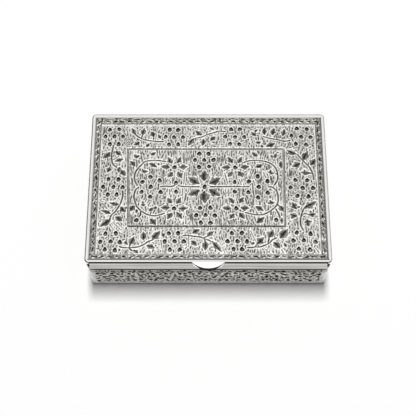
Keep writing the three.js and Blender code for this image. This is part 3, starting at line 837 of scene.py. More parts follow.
def mitred_length(name, side, outline, stations, inset, height, slots, smooth=None, inner=None, marks=None):
    """A length along one side of an outline, closed at its mitres. inset and height hold a section
    for each station, anticlockwise with the inset to the right. smooth and inner say which faces round
    the section are shaded smooth, and which have the second material."""
    share, turn = stations
    count = inset.shape[1]
    x, y = laid_along(outline, side, share, turn, inset)
    points = np.stack([x, y, height], 2).reshape(-1, 3)
    i, j = np.meshgrid(np.arange(len(share) - 1), np.arange(count), indexing="ij")
    a = i * count + j
    b = i * count + (j + 1) % count
    quads = np.stack([a, b, b + count, a + count], 2).reshape(-1, 4)
    last = (len(share) - 1) * count
    ends = [list(range(count - 1, -1, -1)), list(range(last, last + count))]
    smooth = [True] * count if smooth is None else smooth
    shaded = smooth * (len(share) - 1) + [False, False]
    slot_of = None if inner is None else inner * (len(share) - 1) + [1, 1]
    made = piece(name, points, quads.tolist() + ends, shaded, slots, slot_of, marks)
    section = np.stack([inset, height])[:, len(share) // 2]
    around = np.hypot(*np.diff(section, append=section[:, :1]))
    around = (around + 0.02) * np.where(np.zeros(count) if inner is None else inner, 0.3, 1.0)
    v = laid_end_to_end(around, MAP_FACE)
    u = laid_end_to_end(np.hypot(np.diff(x[:, 0]), np.diff(y[:, 0])) + 0.001, MAP_ACROSS)
    corners = [np.stack([u[i + di], v[j + dj]], 2) for di, dj in ((0, 0), (0, 1), (1, 1), (1, 0))]
    quad_places = np.stack(corners, 2).reshape(-1, 2)
    lay_flat(made, quad_places, *(in_cell(points, end, 0, 2, k) for k, end in enumerate(ends)))
    return made


def bevel_drop(y):
    """How far the stop bevel has run from the hinge's height, behind the hinge."""
    return np.maximum(y - HINGE_Y, 0) * STOP_SLOPE


def cove_reach(x, y):
    """How far the barrel's cove reaches from the hinge's height: 0 where there is no cove."""
    off = np.abs(y - HINGE_Y)
    in_cove = (off < COVE) & (np.abs(x) < COVE_HALF_LENGTH)
    return np.where(in_cove, np.sqrt(np.maximum(COVE**2 - off**2, 0)), 0.0)


def wall_top(x, y):
    """Where the body's wall ends: at its top, the stop bevel or the barrel's cove."""
    top = np.minimum(BODY_TOP, HINGE_Z - bevel_drop(y))
    reach = cove_reach(x, y)
    return np.where(reach > 0, np.minimum(top, HINGE_Z - reach), top)


def band_bottom(x, y):
    """Where the lid's band ends: at its lower edge, the stop bevel or the barrel's cove."""
    low = np.maximum(LID_BOTTOM, HINGE_Z + bevel_drop(y))
    reach = cove_reach(x, y)
    return np.where(reach > 0, np.maximum(low, HINGE_Z + reach), low)


# Shader node groups and materials


def connect(tree, node, sockets):
    """Feed a node's sockets, each with what comes out of another node or with a value of its own."""
    for socket, value in sockets.items():
        if isinstance(value, bpy.types.NodeSocket):
            tree.links.new(value, node.inputs[socket])
        else:
            node.inputs[socket].default_value = value


def add_node(tree, kind, sockets, out=0, **settings):
    """A new node with its settings and what feeds it. Gives what comes out of it."""
    node = tree.nodes.new(kind)
    for name, value in settings.items():
        setattr(node, name, value)
    connect(tree, node, sockets)
    return node.outputs[out]


def new_group(name, inputs, outputs):
    """An empty group, what is given to it, and the node that takes what it puts out."""
    group = bpy.data.node_groups.new(name, "ShaderNodeTree")
    for label, kind, value in inputs:
        group.interface.new_socket(label, in_out="INPUT", socket_type=kind).default_value = value
    for label, kind in outputs:
        group.interface.new_socket(label, in_out="OUTPUT", socket_type=kind)
    return group, group.nodes.new("NodeGroupInput").outputs, group.nodes.new("NodeGroupOutput")


def mix_colour(tree, share, first, second):
    return add_node(tree, "ShaderNodeMix", {0: share, 6: first, 7: second}, 2, data_type="RGBA")


def blended(tree, share, first, second):
    """A number that goes from the first to the second as the share goes from 0 to 1."""
    return add_node(tree, "ShaderNodeMix", {"Factor": share, "A": first, "B": second}, "Result")


def reckon(tree, way, *values):
    """Arithmetic on values, which are numbers or what comes out of nodes."""
    return add_node(tree, "ShaderNodeMath", dict(enumerate(values)), operation=way)


def reckon_vector(tree, way, *values):
    return add_node(tree, "ShaderNodeVectorMath", dict(enumerate(values)), operation=way)


def ranged(tree, value, low, high, to_low, to_high):
    """The value's way from low to high, as a gentle rise from to_low to to_high."""
    ends = dict(enumerate((value, low, high, to_low, to_high)))
    return add_node(tree, "ShaderNodeMapRange", ends, interpolation_type="SMOOTHSTEP")


def noise(tree, place, scale, detail=3.0, roughness=0.55):
    sockets = {"Vector": place, "Scale": scale, "Detail": detail, "Roughness": roughness}
    return add_node(tree, "ShaderNodeTexNoise", sockets, "Fac")


def stretched(tree, place, sizes):
    return add_node(tree, "ShaderNodeMapping", {"Vector": place, "Scale": sizes}, "Vector")


def object_place(tree):
    return add_node(tree, "ShaderNodeTexCoord", {}, "Object")


def bare_metal(tree, patina_and_shade):
    """1 on bare silver, and 0 where the tarnish and the painted shade lie so thick that no metal shows."""
    return ranged(tree, patina_and_shade, 0.5, 1.0, 1.0, 0.0)


def tarnish_and_shade_group():
    """Silver that darkens in its cuts and where shade is painted: the ground's tone, its bright cuts and
    highlights, and the patina, which also serves as painted shade.
    """
    group, given, out = new_group(
        "cut_tarnish_and_painted_shade",
        [
            ("Ground", "NodeSocketColor", (0.6, 0.59, 0.57, 1)),
            ("Bright_Cut_And_Highlight", "NodeSocketColor", (0.9, 0.89, 0.87, 1)),
            ("Patina_And_Shade_Colour", "NodeSocketColor", (0.05, 0.045, 0.04, 1)),
            ("Patina_And_Shade", "NodeSocketFloat", 0.0),
            ("Polish_And_Highlight", "NodeSocketFloat", 0.0),
        ],
        [("Color", "NodeSocketColor"), ("Roughness", "NodeSocketFloat"), ("Metallic", "NodeSocketFloat"),
         ("Height", "NodeSocketFloat")],
    )
    place = object_place(group)
    fine = noise(group, place, 2600.0, 2.0)
    clouds = noise(group, place, 60.0, 3.0)
    deposit = ranged(group, fine, 0.25, 0.75, 0.95, 1.4)
    patina_and_shade = reckon(group, "MINIMUM", reckon(group, "MULTIPLY", given["Patina_And_Shade"], deposit), 1.0)
    cloudy = ranged(group, clouds, 0.35, 0.65, 0.0, 0.35)
    ground = mix_colour(group, cloudy, given["Ground"], given["Bright_Cut_And_Highlight"])
    speckle = ranged(group, fine, 0.4, 0.62, 0.0, 0.2)
    ground = mix_colour(group, speckle, ground, given["Patina_And_Shade_Colour"])
    worked = mix_colour(group, given["Polish_And_Highlight"], ground, given["Bright_Cut_And_Highlight"])
    rough = ranged(group, given["Polish_And_Highlight"], 0.0, 1.0, 0.3, 0.1)
    connect(group, out, {
        "Color": mix_colour(group, patina_and_shade, worked, given["Patina_And_Shade_Colour"]),
        "Roughness": ranged(group, patina_and_shade, 0.0, 1.0, rough, 0.7),
        "Metallic": bare_metal(group, patina_and_shade),
        "Height": fine,
    })
    return group


def handling_group():
    """Fine scratches and faint smears, as left by handling and polishing cloths."""
    group, given, out = new_group(
        "handling_marks",
        [("Smooth", "NodeSocketFloat", 0.06), ("Dulled", "NodeSocketFloat", 0.2)],
        [("Roughness", "NodeSocketFloat"), ("Height", "NodeSocketFloat"), ("Veil", "NodeSocketFloat")],
    )
    place = object_place(group)
    smears = noise(group, place, 90.0, 4.0)
    lines_one = noise(group, stretched(group, place, (40.0, 1500.0, 1500.0)), 1.0, 2.0)
    lines_two = noise(group, stretched(group, place, (1300.0, 60.0, 900.0)), 1.0, 2.0)
    scratches = reckon(group, "MAXIMUM", ranged(group, lines_one, 0.62, 0.72, 0.0, 1.0),
                       ranged(group, lines_two, 0.64, 0.74, 0.0, 1.0))
    rough = ranged(group, smears, 0.35, 0.7, given["Smooth"], given["Dulled"])
    connect(group, out, {
        "Roughness": reckon(group, "ADD", rough, reckon(group, "MULTIPLY", scratches, 0.05)),
        "Height": reckon(group, "SUBTRACT", reckon(group, "MULTIPLY", smears, 0.5),
                         reckon(group, "MULTIPLY", scratches, 0.3)),
        "Veil": ranged(group, smears, 0.3, 0.8, 0.0, 1.0),
    })
    return group


def drawn_lines_group():
    """Fine lines side by side, broken here and there. Stretch gives their direction and spacing,
    and Sway how far they wander from straight."""
    group, given, out = new_group(
        "drawn_lines",
        [("Stretch", "NodeSocketVector", (30.0, 30.0, 2600.0)), ("Sway", "NodeSocketFloat", 0.0)],
        [("Lines", "NodeSocketFloat")],
    )
    place = object_place(group)
    drift = add_node(group, "ShaderNodeTexNoise", {"Vector": place, "Scale": 110.0, "Detail": 1.0}, "Color")
    centred = reckon_vector(group, "SUBTRACT", drift, (0.5, 0.5, 0.5))
    amount = add_node(group, "ShaderNodeCombineXYZ", {axis: given["Sway"] for axis in range(3)})
    swayed = reckon_vector(group, "MULTIPLY_ADD", centred, amount, place)
    fitted = reckon_vector(group, "MULTIPLY", swayed, given["Stretch"])
    connect(group, out, {"Lines": noise(group, fitted, 1.0, 3.0, 0.6)})
    return group


TARNISH_AND_SHADE = tarnish_and_shade_group()
HANDLING = handling_group()
DRAWN_LINES = drawn_lines_group()

BRIGHT_CUT_AND_HIGHLIGHT = (0.99, 0.973, 0.916, 1)
PATINA_AND_SHADE = (0.016, 0.012, 0.008, 1)
TARNISH_AND_SHADE_BLACK = (0.035, 0.03, 0.026, 1)
CORNER_HIGHLIGHT = (0.9, 0.895, 0.88, 1)


def new_material(name, metallic):
    """A material, its nodes and its shader."""
    material = bpy.data.materials.new(name)
    material.use_nodes = True
    shader = material.node_tree.nodes["Principled BSDF"]
    connect(material.node_tree, shader, {"Metallic": metallic, "Specular IOR Level": 0.0})
    return material, material.node_tree, shader


def placed_group(tree, group, sockets):
    """A group placed in a material with values of its own. Gives all that it puts out."""
    node = tree.nodes.new("ShaderNodeGroup")
    node.node_tree = group
    connect(tree, node, sockets)
    return node.outputs


def bumped(tree, height, strength, distance):
    """The surface's normal over a relief that is this many millimetres high."""
    sockets = {"Strength": strength, "Distance": distance * MM, "Height": height}
    return add_node(tree, "ShaderNodeBump", sockets, "Normal")


def mark(tree, name):
    """What a mesh's mark says at each point."""
    return add_node(tree, "ShaderNodeAttribute", {}, "Fac", attribute_name=name)


def engraved_silver(name, ground, bright, stretch):
    """Silver cut all over with fine lines. The meshes' marks say where it is dark, from tarnish and painted
    shade, and where it is bright, from polishing and painted highlights.
    """
    material, tree, shader = new_material(name, 1.0)
    lines = placed_group(tree, DRAWN_LINES, {"Stretch": stretch, "Sway": 0.004})["Lines"]
    polish_and_highlight = mark(tree, "polish_and_highlight")
    unpolished = reckon(tree, "SUBTRACT", 1.0, polish_and_highlight)
    cuts = reckon(tree, "MULTIPLY", ranged(tree, lines, 0.5, 0.36, 0.0, 0.62), unpolished)
    tarnish = placed_group(tree, TARNISH_AND_SHADE, {
        "Ground": mix_colour(tree, ranged(tree, lines, 0.5, 0.64, 0.0, 0.7), ground, bright),
        "Bright_Cut_And_Highlight": bright,
        "Patina_And_Shade_Colour": PATINA_AND_SHADE,
        "Patina_And_Shade": reckon(tree, "MAXIMUM", mark(tree, "patina_and_shade"), cuts),
        "Polish_And_Highlight": polish_and_highlight,
    })
    height = reckon(tree, "SUBTRACT", tarnish["Height"], reckon(tree, "MULTIPLY", cuts, 2.0))
    connect(tree, shader, {
        "Base Color": tarnish["Color"],
        "Roughness": tarnish["Roughness"],
        "Metallic": tarnish["Metallic"],
        "Normal": bumped(tree, height, 0.2, 0.03),
    })
    return material


def polished_silver(name, colour, veiled, smooth, dulled):
    """Bright silver with faint smears. The mesh's mark says where shade and dark reflections are painted on
    it in tarnish black.
    """
    material, tree, shader = new_material(name, 1.0)
    handling = placed_group(tree, HANDLING, {"Smooth": smooth, "Dulled": dulled})
    patina_and_shade = mark(tree, "patina_and_shade")
    tone = mix_colour(tree, handling["Veil"], colour, veiled)
    connect(tree, shader, {
        "Base Color": mix_colour(tree, patina_and_shade, tone, TARNISH_AND_SHADE_BLACK),
        "Metallic": bare_metal(tree, patina_and_shade),
        "Roughness": reckon(tree, "ADD", handling["Roughness"], reckon(tree, "MULTIPLY", patina_and_shade, 0.3)),
        "Normal": bumped(tree, handling["Height"], 0.12, 0.02),
    })
    return material


def lined_silver(name, colour, veiled, stretch, smooth, dulled, strength):
    """Silver with fine lines drawn along it, bright on their crests. Its marks say where shade and highlights
    are painted on it.
    """
    material, tree, shader = new_material(name, 1.0)
    handling = placed_group(tree, HANDLING, {"Smooth": smooth, "Dulled": dulled})
    lines = placed_group(tree, DRAWN_LINES, {"Stretch": stretch})["Lines"]
    patina_and_shade = mark(tree, "patina_and_shade")
    tone = mix_colour(tree, ranged(tree, lines, 0.35, 0.65, 0.0, 1.0), veiled, colour)
    tone = mix_colour(tree, mark(tree, "polish_and_highlight"), tone, CORNER_HIGHLIGHT)
    height = reckon(tree, "ADD", handling["Height"], lines)
    connect(tree, shader, {
        "Base Color": mix_colour(tree, patina_and_shade, tone, TARNISH_AND_SHADE_BLACK),
        "Metallic": bare_metal(tree, patina_and_shade),
        "Roughness": handling["Roughness"],
        "Normal": bumped(tree, height, strength, 0.02),
    })
    return material


FIELD_SILVER = engraved_silver(
    "engraved_silver_lid", (0.38, 0.368, 0.337, 1), BRIGHT_CUT_AND_HIGHLIGHT, (2300.0, 240.0, 240.0)
)
BORDER_SILVER = engraved_silver(
    "engraved_silver_border", (0.4, 0.387, 0.354, 1), (0.96, 0.943, 0.888, 1), (900.0, 900.0, 900.0)
)
WALL_SILVER = engraved_silver(
    "engraved_silver_sides", (0.5, 0.485, 0.446, 1), BRIGHT_CUT_AND_HIGHLIGHT, (2300.0, 2300.0, 240.0)
)
RIM_SILVER = polished_silver(
    "polished_silver_rim", (0.78, 0.771, 0.745, 1), (0.73, 0.721, 0.697, 1), smooth=0.05, dulled=0.12
)
BAND_SILVER = lined_silver(
    "polished_silver_band", (0.65, 0.64, 0.602, 1), (0.27, 0.265, 0.245, 1), (22.0, 22.0, 1900.0),
    smooth=0.12, dulled=0.2, strength=0.2,
)
INSIDE_SILVER = lined_silver(
    "satin_silver_inside", (0.84, 0.83, 0.8, 1), (0.7, 0.69, 0.66, 1), (60.0, 2100.0, 900.0),
    smooth=0.3, dulled=0.42, strength=0.3,
)
PIN_SILVER = lined_silver(
    "drawn_silver_pin", (0.72, 0.715, 0.7, 1), (0.55, 0.545, 0.53, 1), (60.0, 2600.0, 2600.0),
    smooth=0.24, dulled=0.36, strength=0.35,
)


# Lid


def make_field():
    """The raised field of the lid: the engraved face, four plain edges and a plain underside."""
    sheet = engraved_field()
    ny, nx = sheet.cut.shape
    top = np.stack([sheet.gx, sheet.gy, FIELD_LEVEL + sheet.height()], 2).reshape(-1, 3)
    half_x, half_y = sheet.x[-1], sheet.y[-1]
    low = [(-half_x, -half_y), (half_x, -half_y), (half_x, half_y), (-half_x, half_y)]
    points = np.vstack([top, [(x, y, RIM_BOTTOM) for x, y in low]])
    i, j = np.meshgrid(np.arange(nx - 1), np.arange(ny - 1))
    a = (j * nx + i).ravel()
    quads = np.stack([a, a + 1, a + 1 + nx, a + nx], 1).tolist()
    c0 = nx * ny
    front = list(range(nx - 1, -1, -1)) + [c0, c0 + 1]
    right = list(range((ny - 1) * nx + nx - 1, nx - 2, -nx)) + [c0 + 1, c0 + 2]
    back = list(range((ny - 1) * nx, ny * nx)) + [c0 + 2, c0 + 3]
    left = list(range(0, ny * nx, nx)) + [c0 + 3, c0]
    under = [c0 + 3, c0 + 2, c0 + 1, c0]
    edges = [front, right, back, left]
    smooth = [True] * len(quads) + [False] * 5
    slot_of = [0] * len(quads) + [1] * 5
    marks = {
        "patina_and_shade": np.append(sheet.dark, np.zeros(4)),
        "polish_and_highlight": np.append(sheet.bright, np.zeros(4)),
    }
    faces = quads + edges + [under]
    made = piece("lid_field", points, faces, smooth, [FIELD_SILVER, INSIDE_SILVER], slot_of, marks)
    u = MAP_EDGE + MAP_ACROSS * (sheet.gx / half_x + 1) / 2
    v = MAP_EDGE + MAP_FACE * (sheet.gy / half_y + 1) / 2
    plan = np.stack([u, v], 2).reshape(-1, 2)
    # The front and back edges run along X, the right and left ones along Y
    cells = [in_cell(points, face, k % 2, 2, k) for k, face in enumerate(edges)]
    lay_flat(made, plan[np.array(quads).ravel()], *cells, in_cell(points, under, 0, 1, 4))
    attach(made, "lid")
    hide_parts("lid_top_plate")


def make_border(side, seed):
    """A length of the sunk border, with the bevel that rises to the field."""
    half_x = side_outline(LID, side)[0]
    middle = {"front": 1.3, "back": 0.95}.get(side, 1.13)
    # How much shade is painted along the rim: less at the back
    foot = 0.1 if side == "back" else 0.6
    sheet = chain_border(2 * (half_x - RIM_WIDTH), BORDER_EDGE - RIM_WIDTH, middle, foot, seed)
    nx = len(sheet.x)
    stations = side_stations(np.linspace(-1, 1, nx), 0)
    ends = np.minimum(np.arange(nx), np.arange(nx)[::-1])
    calm = smooth_step(0, 4, ends)[:, None]
    under = [(RIM_WIDTH, RIM_BOTTOM), (FIELD_EDGE, RIM_BOTTOM), (FIELD_EDGE, FIELD_LEVEL)]
    bevel = [(BORDER_EDGE + 0.24, FIELD_LEVEL - 0.02), (BORDER_EDGE + 0.06, BORDER_LEVEL + 0.06)]
    before = np.tile(under + bevel, (nx, 1, 1))
    inset = np.hstack([before[:, :, 0], np.tile(RIM_WIDTH + sheet.y[::-1], (nx, 1))])
    height = np.hstack([before[:, :, 1], BORDER_LEVEL + (sheet.height().T * calm)[:, ::-1]])
    # Painted shade on the front and back bevels
    painted_bevel_shade = {"front": 0.35, "back": 0.3}.get(side, 0.0)
    on_bevel = np.tile([0.0, 0.0, 1.0, 1.0, 1.0], (nx, 1))
    marks = {
        "patina_and_shade": np.hstack([on_bevel * painted_bevel_shade, sheet.dark.T[:, ::-1]]),
        "polish_and_highlight": np.hstack([on_bevel * (1.0 - painted_bevel_shade), sheet.bright.T[:, ::-1]]),
    }
    # The underside and the two upright edges are plain
    rest = inset.shape[1] - 3
    made = mitred_length(
        "lid_border_" + side, side, LID, stations, inset, height, [BORDER_SILVER, INSIDE_SILVER],
        [False, False] + [True] * rest + [False], [1, 1] + [0] * rest + [1], marks,
    )
    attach(made, "lid")
    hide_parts("lid_top_plate")


THUMB_HALF_WIDTH = 6.95
THUMB_REACH = 3.3
THUMB_THICKNESS = 0.95
THUMB_ROOT = 0.9
THUMB_DROP = 0.5
THUMB_THINNING = 0.28
THUMB_LIP = 0.14
# The thumbpiece's bright face ends on an arc, and a painted dark line runs round it, standing for the shade
# and dark reflection on its rounded edge
THUMB_FACE_DIP = 2.62
THUMB_FACE_RADIUS = (THUMB_HALF_WIDTH**2 + THUMB_FACE_DIP**2) / (2 * THUMB_FACE_DIP)
THUMB_FACE_CENTRE = THUMB_FACE_RADIUS - THUMB_FACE_DIP - LID[1]


def rim_section(side):
    """The rim's section and where shade and dark reflections are painted on it: a bead over a quirk, a
    crown, an eased inner edge and the drop to the sunk border. The front's inner edge is rubbed down to a
    slope."""
    ease, roll = np.radians(np.linspace(12, 76, 7)), np.radians(np.linspace(90, 180, 13))
    crown = TOP - RIM_EASE
    # Painted shade on the back's inner ease
    back_ease_shade = 0.36 if side == "back" else 0.0
    inner = [(RIM_FLAT_END + RIM_SLOPE * math.cos(t), crown + RIM_EASE * math.sin(t), back_ease_shade) for t in ease]
    if side == "front":
        inner = [
            (1.88, 27.42, 0.1), (1.5, 27.62, 0.0), (1.2, 27.78, 0.0), (1.0, 27.88, 0.0), (0.9, 27.95, 0.0),
            (0.84, 27.99, 0.0),
        ]
    bead = [
        (RIM_ROUND + RIM_ROUND * math.cos(t), TOP - RIM_ROUND + RIM_ROUND * math.sin(t),
         float(smooth_step(math.radians(133), math.radians(144), t)))
        for t in roll
    ]
    # The third column is painted shade: in the crease at the rim's foot and up the drop, on the bead's outer
    # side, and in the quirk under the bead
    foot = [(RIM_WIDTH, RIM_BOTTOM, 0.0), (RIM_WIDTH, BORDER_LEVEL + 0.02, 0.7)]
    drop = [(RIM_WIDTH, BORDER_LEVEL + 0.45, 0.35), (RIM_WIDTH - 0.02, BORDER_LEVEL + 1.0, 0.0)]
    quirk = [
        (0.0, 27.2, 1.0), (0.07, 27.08, 1.0), (0.34, 27.02, 1.0), (0.34, 26.84, 1.0), (0.2, 26.8, 1.0),
        (BAND_STEP, 26.76, 1.0), (BAND_STEP, 25.95, 1.0), (BAND_STEP, 25.8, 0.5),
    ]
    outside = [(BAND_STEP, z, 0.0) for z in (25.65, 25.4, RIM_BOTTOM)]
    return np.array([*foot, *drop, *inner, *bead, *quirk, *outside])


# How strong the rim's painted shade is on each side
RIM_PAINTED_SHADE = {"front": 1.0, "left": 0.9, "right": 0.55, "back": 0.5}


def near_the_ends(side):
    """Shares of a side's straight part, closer together towards the front corners."""
    if side != "front":
        return np.array([-1.0, 1.0])
    end = np.linspace(0.965, 1.0, 9)
    return np.concatenate([-end[::-1], end])


# The painted dark reflection at each front corner: a line from under the bead to a black dot on the band,
# across and up
CORNER_LINE_TOP = (50.4, 26.5)
CORNER_DOT = (51.4, 23.7)
CORNER_DOT_WIDTH = 0.95
CORNER_DOT_HEIGHT = 1.6


def corner_shade(x, height):
    """Painted dark reflection: the dark line under the bead runs down to a black dot at each front corner."""
    across = np.abs(x)
    dot_x, dot_z = CORNER_DOT
    off = np.hypot((across - dot_x) / CORNER_DOT_WIDTH, (height - dot_z) / CORNER_DOT_HEIGHT)
    line = smooth_step(0.42, 0.16, from_line(across, height, CORNER_LINE_TOP, CORNER_DOT))
    return np.maximum(smooth_step(1.0, 0.7, off), line)


def make_rim(side):
    """The polished moulding round the lid's top. The front one is cut down where the thumbpiece sits."""
    section = rim_section(side)
    half_x = side_outline(LID, side)[0] - LID[2]
    straight = near_the_ends(side)
    edge, hair = THUMB_HALF_WIDTH / half_x, 0.004 / half_x
    if side == "front":
        straight = np.insert(straight, len(straight) // 2, [-edge - hair, -edge, edge, edge + hair])
    share, turn = side_stations(straight, 12)
    inset, height, patina_and_shade = np.moveaxis(np.tile(section, (len(share), 1, 1)), 2, 0)
    patina_and_shade = patina_and_shade * RIM_PAINTED_SHADE[side]
    if side == "front":
        seat = (np.abs(share) <= edge + hair / 2) & (turn == FACING)
        high = TOP - THUMB_THICKNESS
        lowered = seat[:, None] & (inset < THUMB_ROOT - 0.05) & (height > high)
        height = np.where(lowered, high, height)
        x, _ = laid_along(LID, side, share, turn, inset)
        shade = corner_shade(x, height) * ((height < 27.0) & (inset < 0.5))
        patina_and_shade = np.maximum(patina_and_shade * smooth_step(51.2, 50.4, np.abs(x)) ** (height < 27.3), shade)
    marks = {"patina_and_shade": patina_and_shade}
    made = mitred_length("rim_" + side, side, LID, (share, turn), inset, height, [RIM_SILVER], marks=marks)
    made.data.set_sharp_from_angle(angle=math.radians(20 if side == "front" else 40))
    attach(made, "lid")
    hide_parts(f"lid_{side}_rim")


def make_band(side):
    """The lid's side band. Its lower edge follows the barrel's cove and the stop bevel at the back."""
    straight = near_the_ends(side)
    if side == "back":
        near, hair = COVE_HALF_LENGTH / (LID[0] - LID[2]), 1e-4
        ends = np.linspace(near + hair, 1, 6)
        straight = np.concatenate([-ends[::-1], np.linspace(-near, near, 60), ends])
    share, turn = side_stations(straight, 12)
    arc = 7
    rows = [24.9, 24.6, 24.3, 24.0, 23.7, 23.4, 23.1, 22.8, 22.5, LID_BOTTOM + 0.75]
    corners = [(BAND_STEP, LID_BOTTOM), (BAND_INNER, LID_BOTTOM), (BAND_INNER, RIM_BOTTOM)]
    corners += [(BAND_STEP, z) for z in [RIM_BOTTOM, *rows]]
    lower = rounded(corners, [BAND_ROUND] + [0] * (len(corners) - 1), arc)
    inset = np.tile(lower[:, 0], (len(share), 1))
    height = np.tile(lower[:, 1], (len(share), 1))
    x, y = laid_along(LID, side, share, turn, inset)
    height = np.where(height < rows[-2], np.maximum(height, band_bottom(x, y)), height)
    # After the round come the lower edge, the inside and the top, then the outside row by row
    inner = [0] * (arc + 1) + [1, 1] + [0] * (len(rows) + 1)
    smooth = [True] * arc + [False] * 3 + [True] * (len(rows) + 1)
    # Painted shade along the lower edge, at the seam
    seam_shade = np.zeros(inset.shape[1])
    seam_shade[:9] = 0.55, 0.8, 0.95, 1.0, 1.0, 0.95, 0.8, 0.45, 0.15
    patina_and_shade = np.tile(seam_shade, (len(share), 1))
    if side == "front":
        patina_and_shade = np.maximum(patina_and_shade, corner_shade(x, height) * (inset < 0.5))
    # Painted highlight on the rounded corners
    corner_highlight = smooth_step(0.5, 0.75, np.abs(turn - FACING))[:, None]
    marks = {"patina_and_shade": patina_and_shade, "polish_and_highlight": np.tile(corner_highlight, (1, inset.shape[1]))}
    made = mitred_length(
        "band_" + side, side, LID, (share, turn), inset, height, [BAND_SILVER, INSIDE_SILVER],
        smooth, inner, marks,
    )
    made.data.set_sharp_from_angle(angle=math.radians(40))
    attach(made, "lid")
    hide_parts(f"lid_{side}_band")


def make_thumbpiece():
    """A half-moon for the finger. Its face dips towards the front, and its edge is rounded over."""
    columns = THUMB_HALF_WIDTH * np.sin(np.linspace(-math.pi / 2, math.pi / 2, 73))
    reach = 0.02 + (THUMB_REACH - 0.02) * np.sqrt(np.maximum(1 - (columns / THUMB_HALF_WIDTH) ** 2, 0))
    share = np.linspace(0.0, 1.0, 41) ** 0.8
    front = -LID[1]
    root = front + THUMB_ROOT
    far = (front - reach)[:, None]
    y = root + (far - root) * share
    gx = np.tile(columns[:, None], (1, len(share)))
    s = np.clip((front - y) / THUMB_REACH, 0, 1)
    top = TOP - THUMB_DROP * (0.5 * s + 0.5 * s * s)
    bottom = top - THUMB_THICKNESS * (1 - THUMB_THINNING * s)
    across = THUMB_HALF_WIDTH - np.abs(gx)
    edge = np.where(y < front, np.minimum(y - far, across), 9.0)
    over = THUMB_LIP - np.sqrt(np.maximum(THUMB_LIP**2 - np.maximum(THUMB_LIP - edge, 0) ** 2, 0))
    n, m = y.shape
    upper = np.stack([gx, y, top - over], 2).reshape(-1, 3)
    under = np.stack([gx, y, bottom + np.minimum(over, 0.12)], 2).reshape(-1, 3)
    i, j = np.meshgrid(np.arange(n - 1), np.arange(m - 1), indexing="ij")
    a = (i * m + j).ravel()
    face_up = np.stack([a, a + 1, a + m + 1, a + m], 1)
    face_down = face_up[:, ::-1] + n * m
    faces = face_up.tolist() + face_down.tolist()
    loop = (
        [k * m for k in range(n)]
        + [(n - 1) * m + k for k in range(1, m)]
        + [k * m + m - 1 for k in range(n - 2, -1, -1)]
        + list(range(m - 2, 0, -1))
    )
    for p, q in zip(loop, loop[1:] + loop[:1]):
        faces.append([p, q, q + n * m, p + n * m])
    past_face = np.hypot(gx, y - THUMB_FACE_CENTRE) - THUMB_FACE_RADIUS
    thickness = 0.24 + 1.0 * (1 - (gx / THUMB_HALF_WIDTH) ** 2) ** 2
    line = smooth_step(-0.04, 0.1, past_face) * smooth_step(0.12, -0.04, past_face - thickness)
    line *= y < front + 0.05
    # Painted shade: the dark line round the face, and the underside darkened near the edge
    marks = {"patina_and_shade": np.append(line, smooth_step(0.6, 0.2, edge))}
    points = np.vstack([upper, under])
    made = piece("thumb_moon", points, faces, [True] * len(faces), [RIM_SILVER], None, marks)
    made.data.set_sharp_from_angle(angle=math.radians(50))
    made.visible_shadow = False
    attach(made, "lid")
    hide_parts("thumbpiece")


# Body


def wall_shadow(side, along, below):
    """Painted shade on a wall under the lid's edge, given as tarnish marks. It reaches lower under the
    front's thumbpiece.
    """
    shadow = 0.3 * smooth_step(6.2, 3.4, below) + 0.12 * smooth_step(19.0, 3.0, below)
    if side == "front":
        under_thumb = smooth_step(5.6, 1.8, np.abs(along))[:, None]
        shadow = np.maximum(shadow, 0.7 * under_thumb * smooth_step(4.6, 1.6, below))
    shadow = np.maximum(shadow, smooth_step(1.6, 0.95, below))
    return shadow * smooth_step(0.1, 0.6, below)


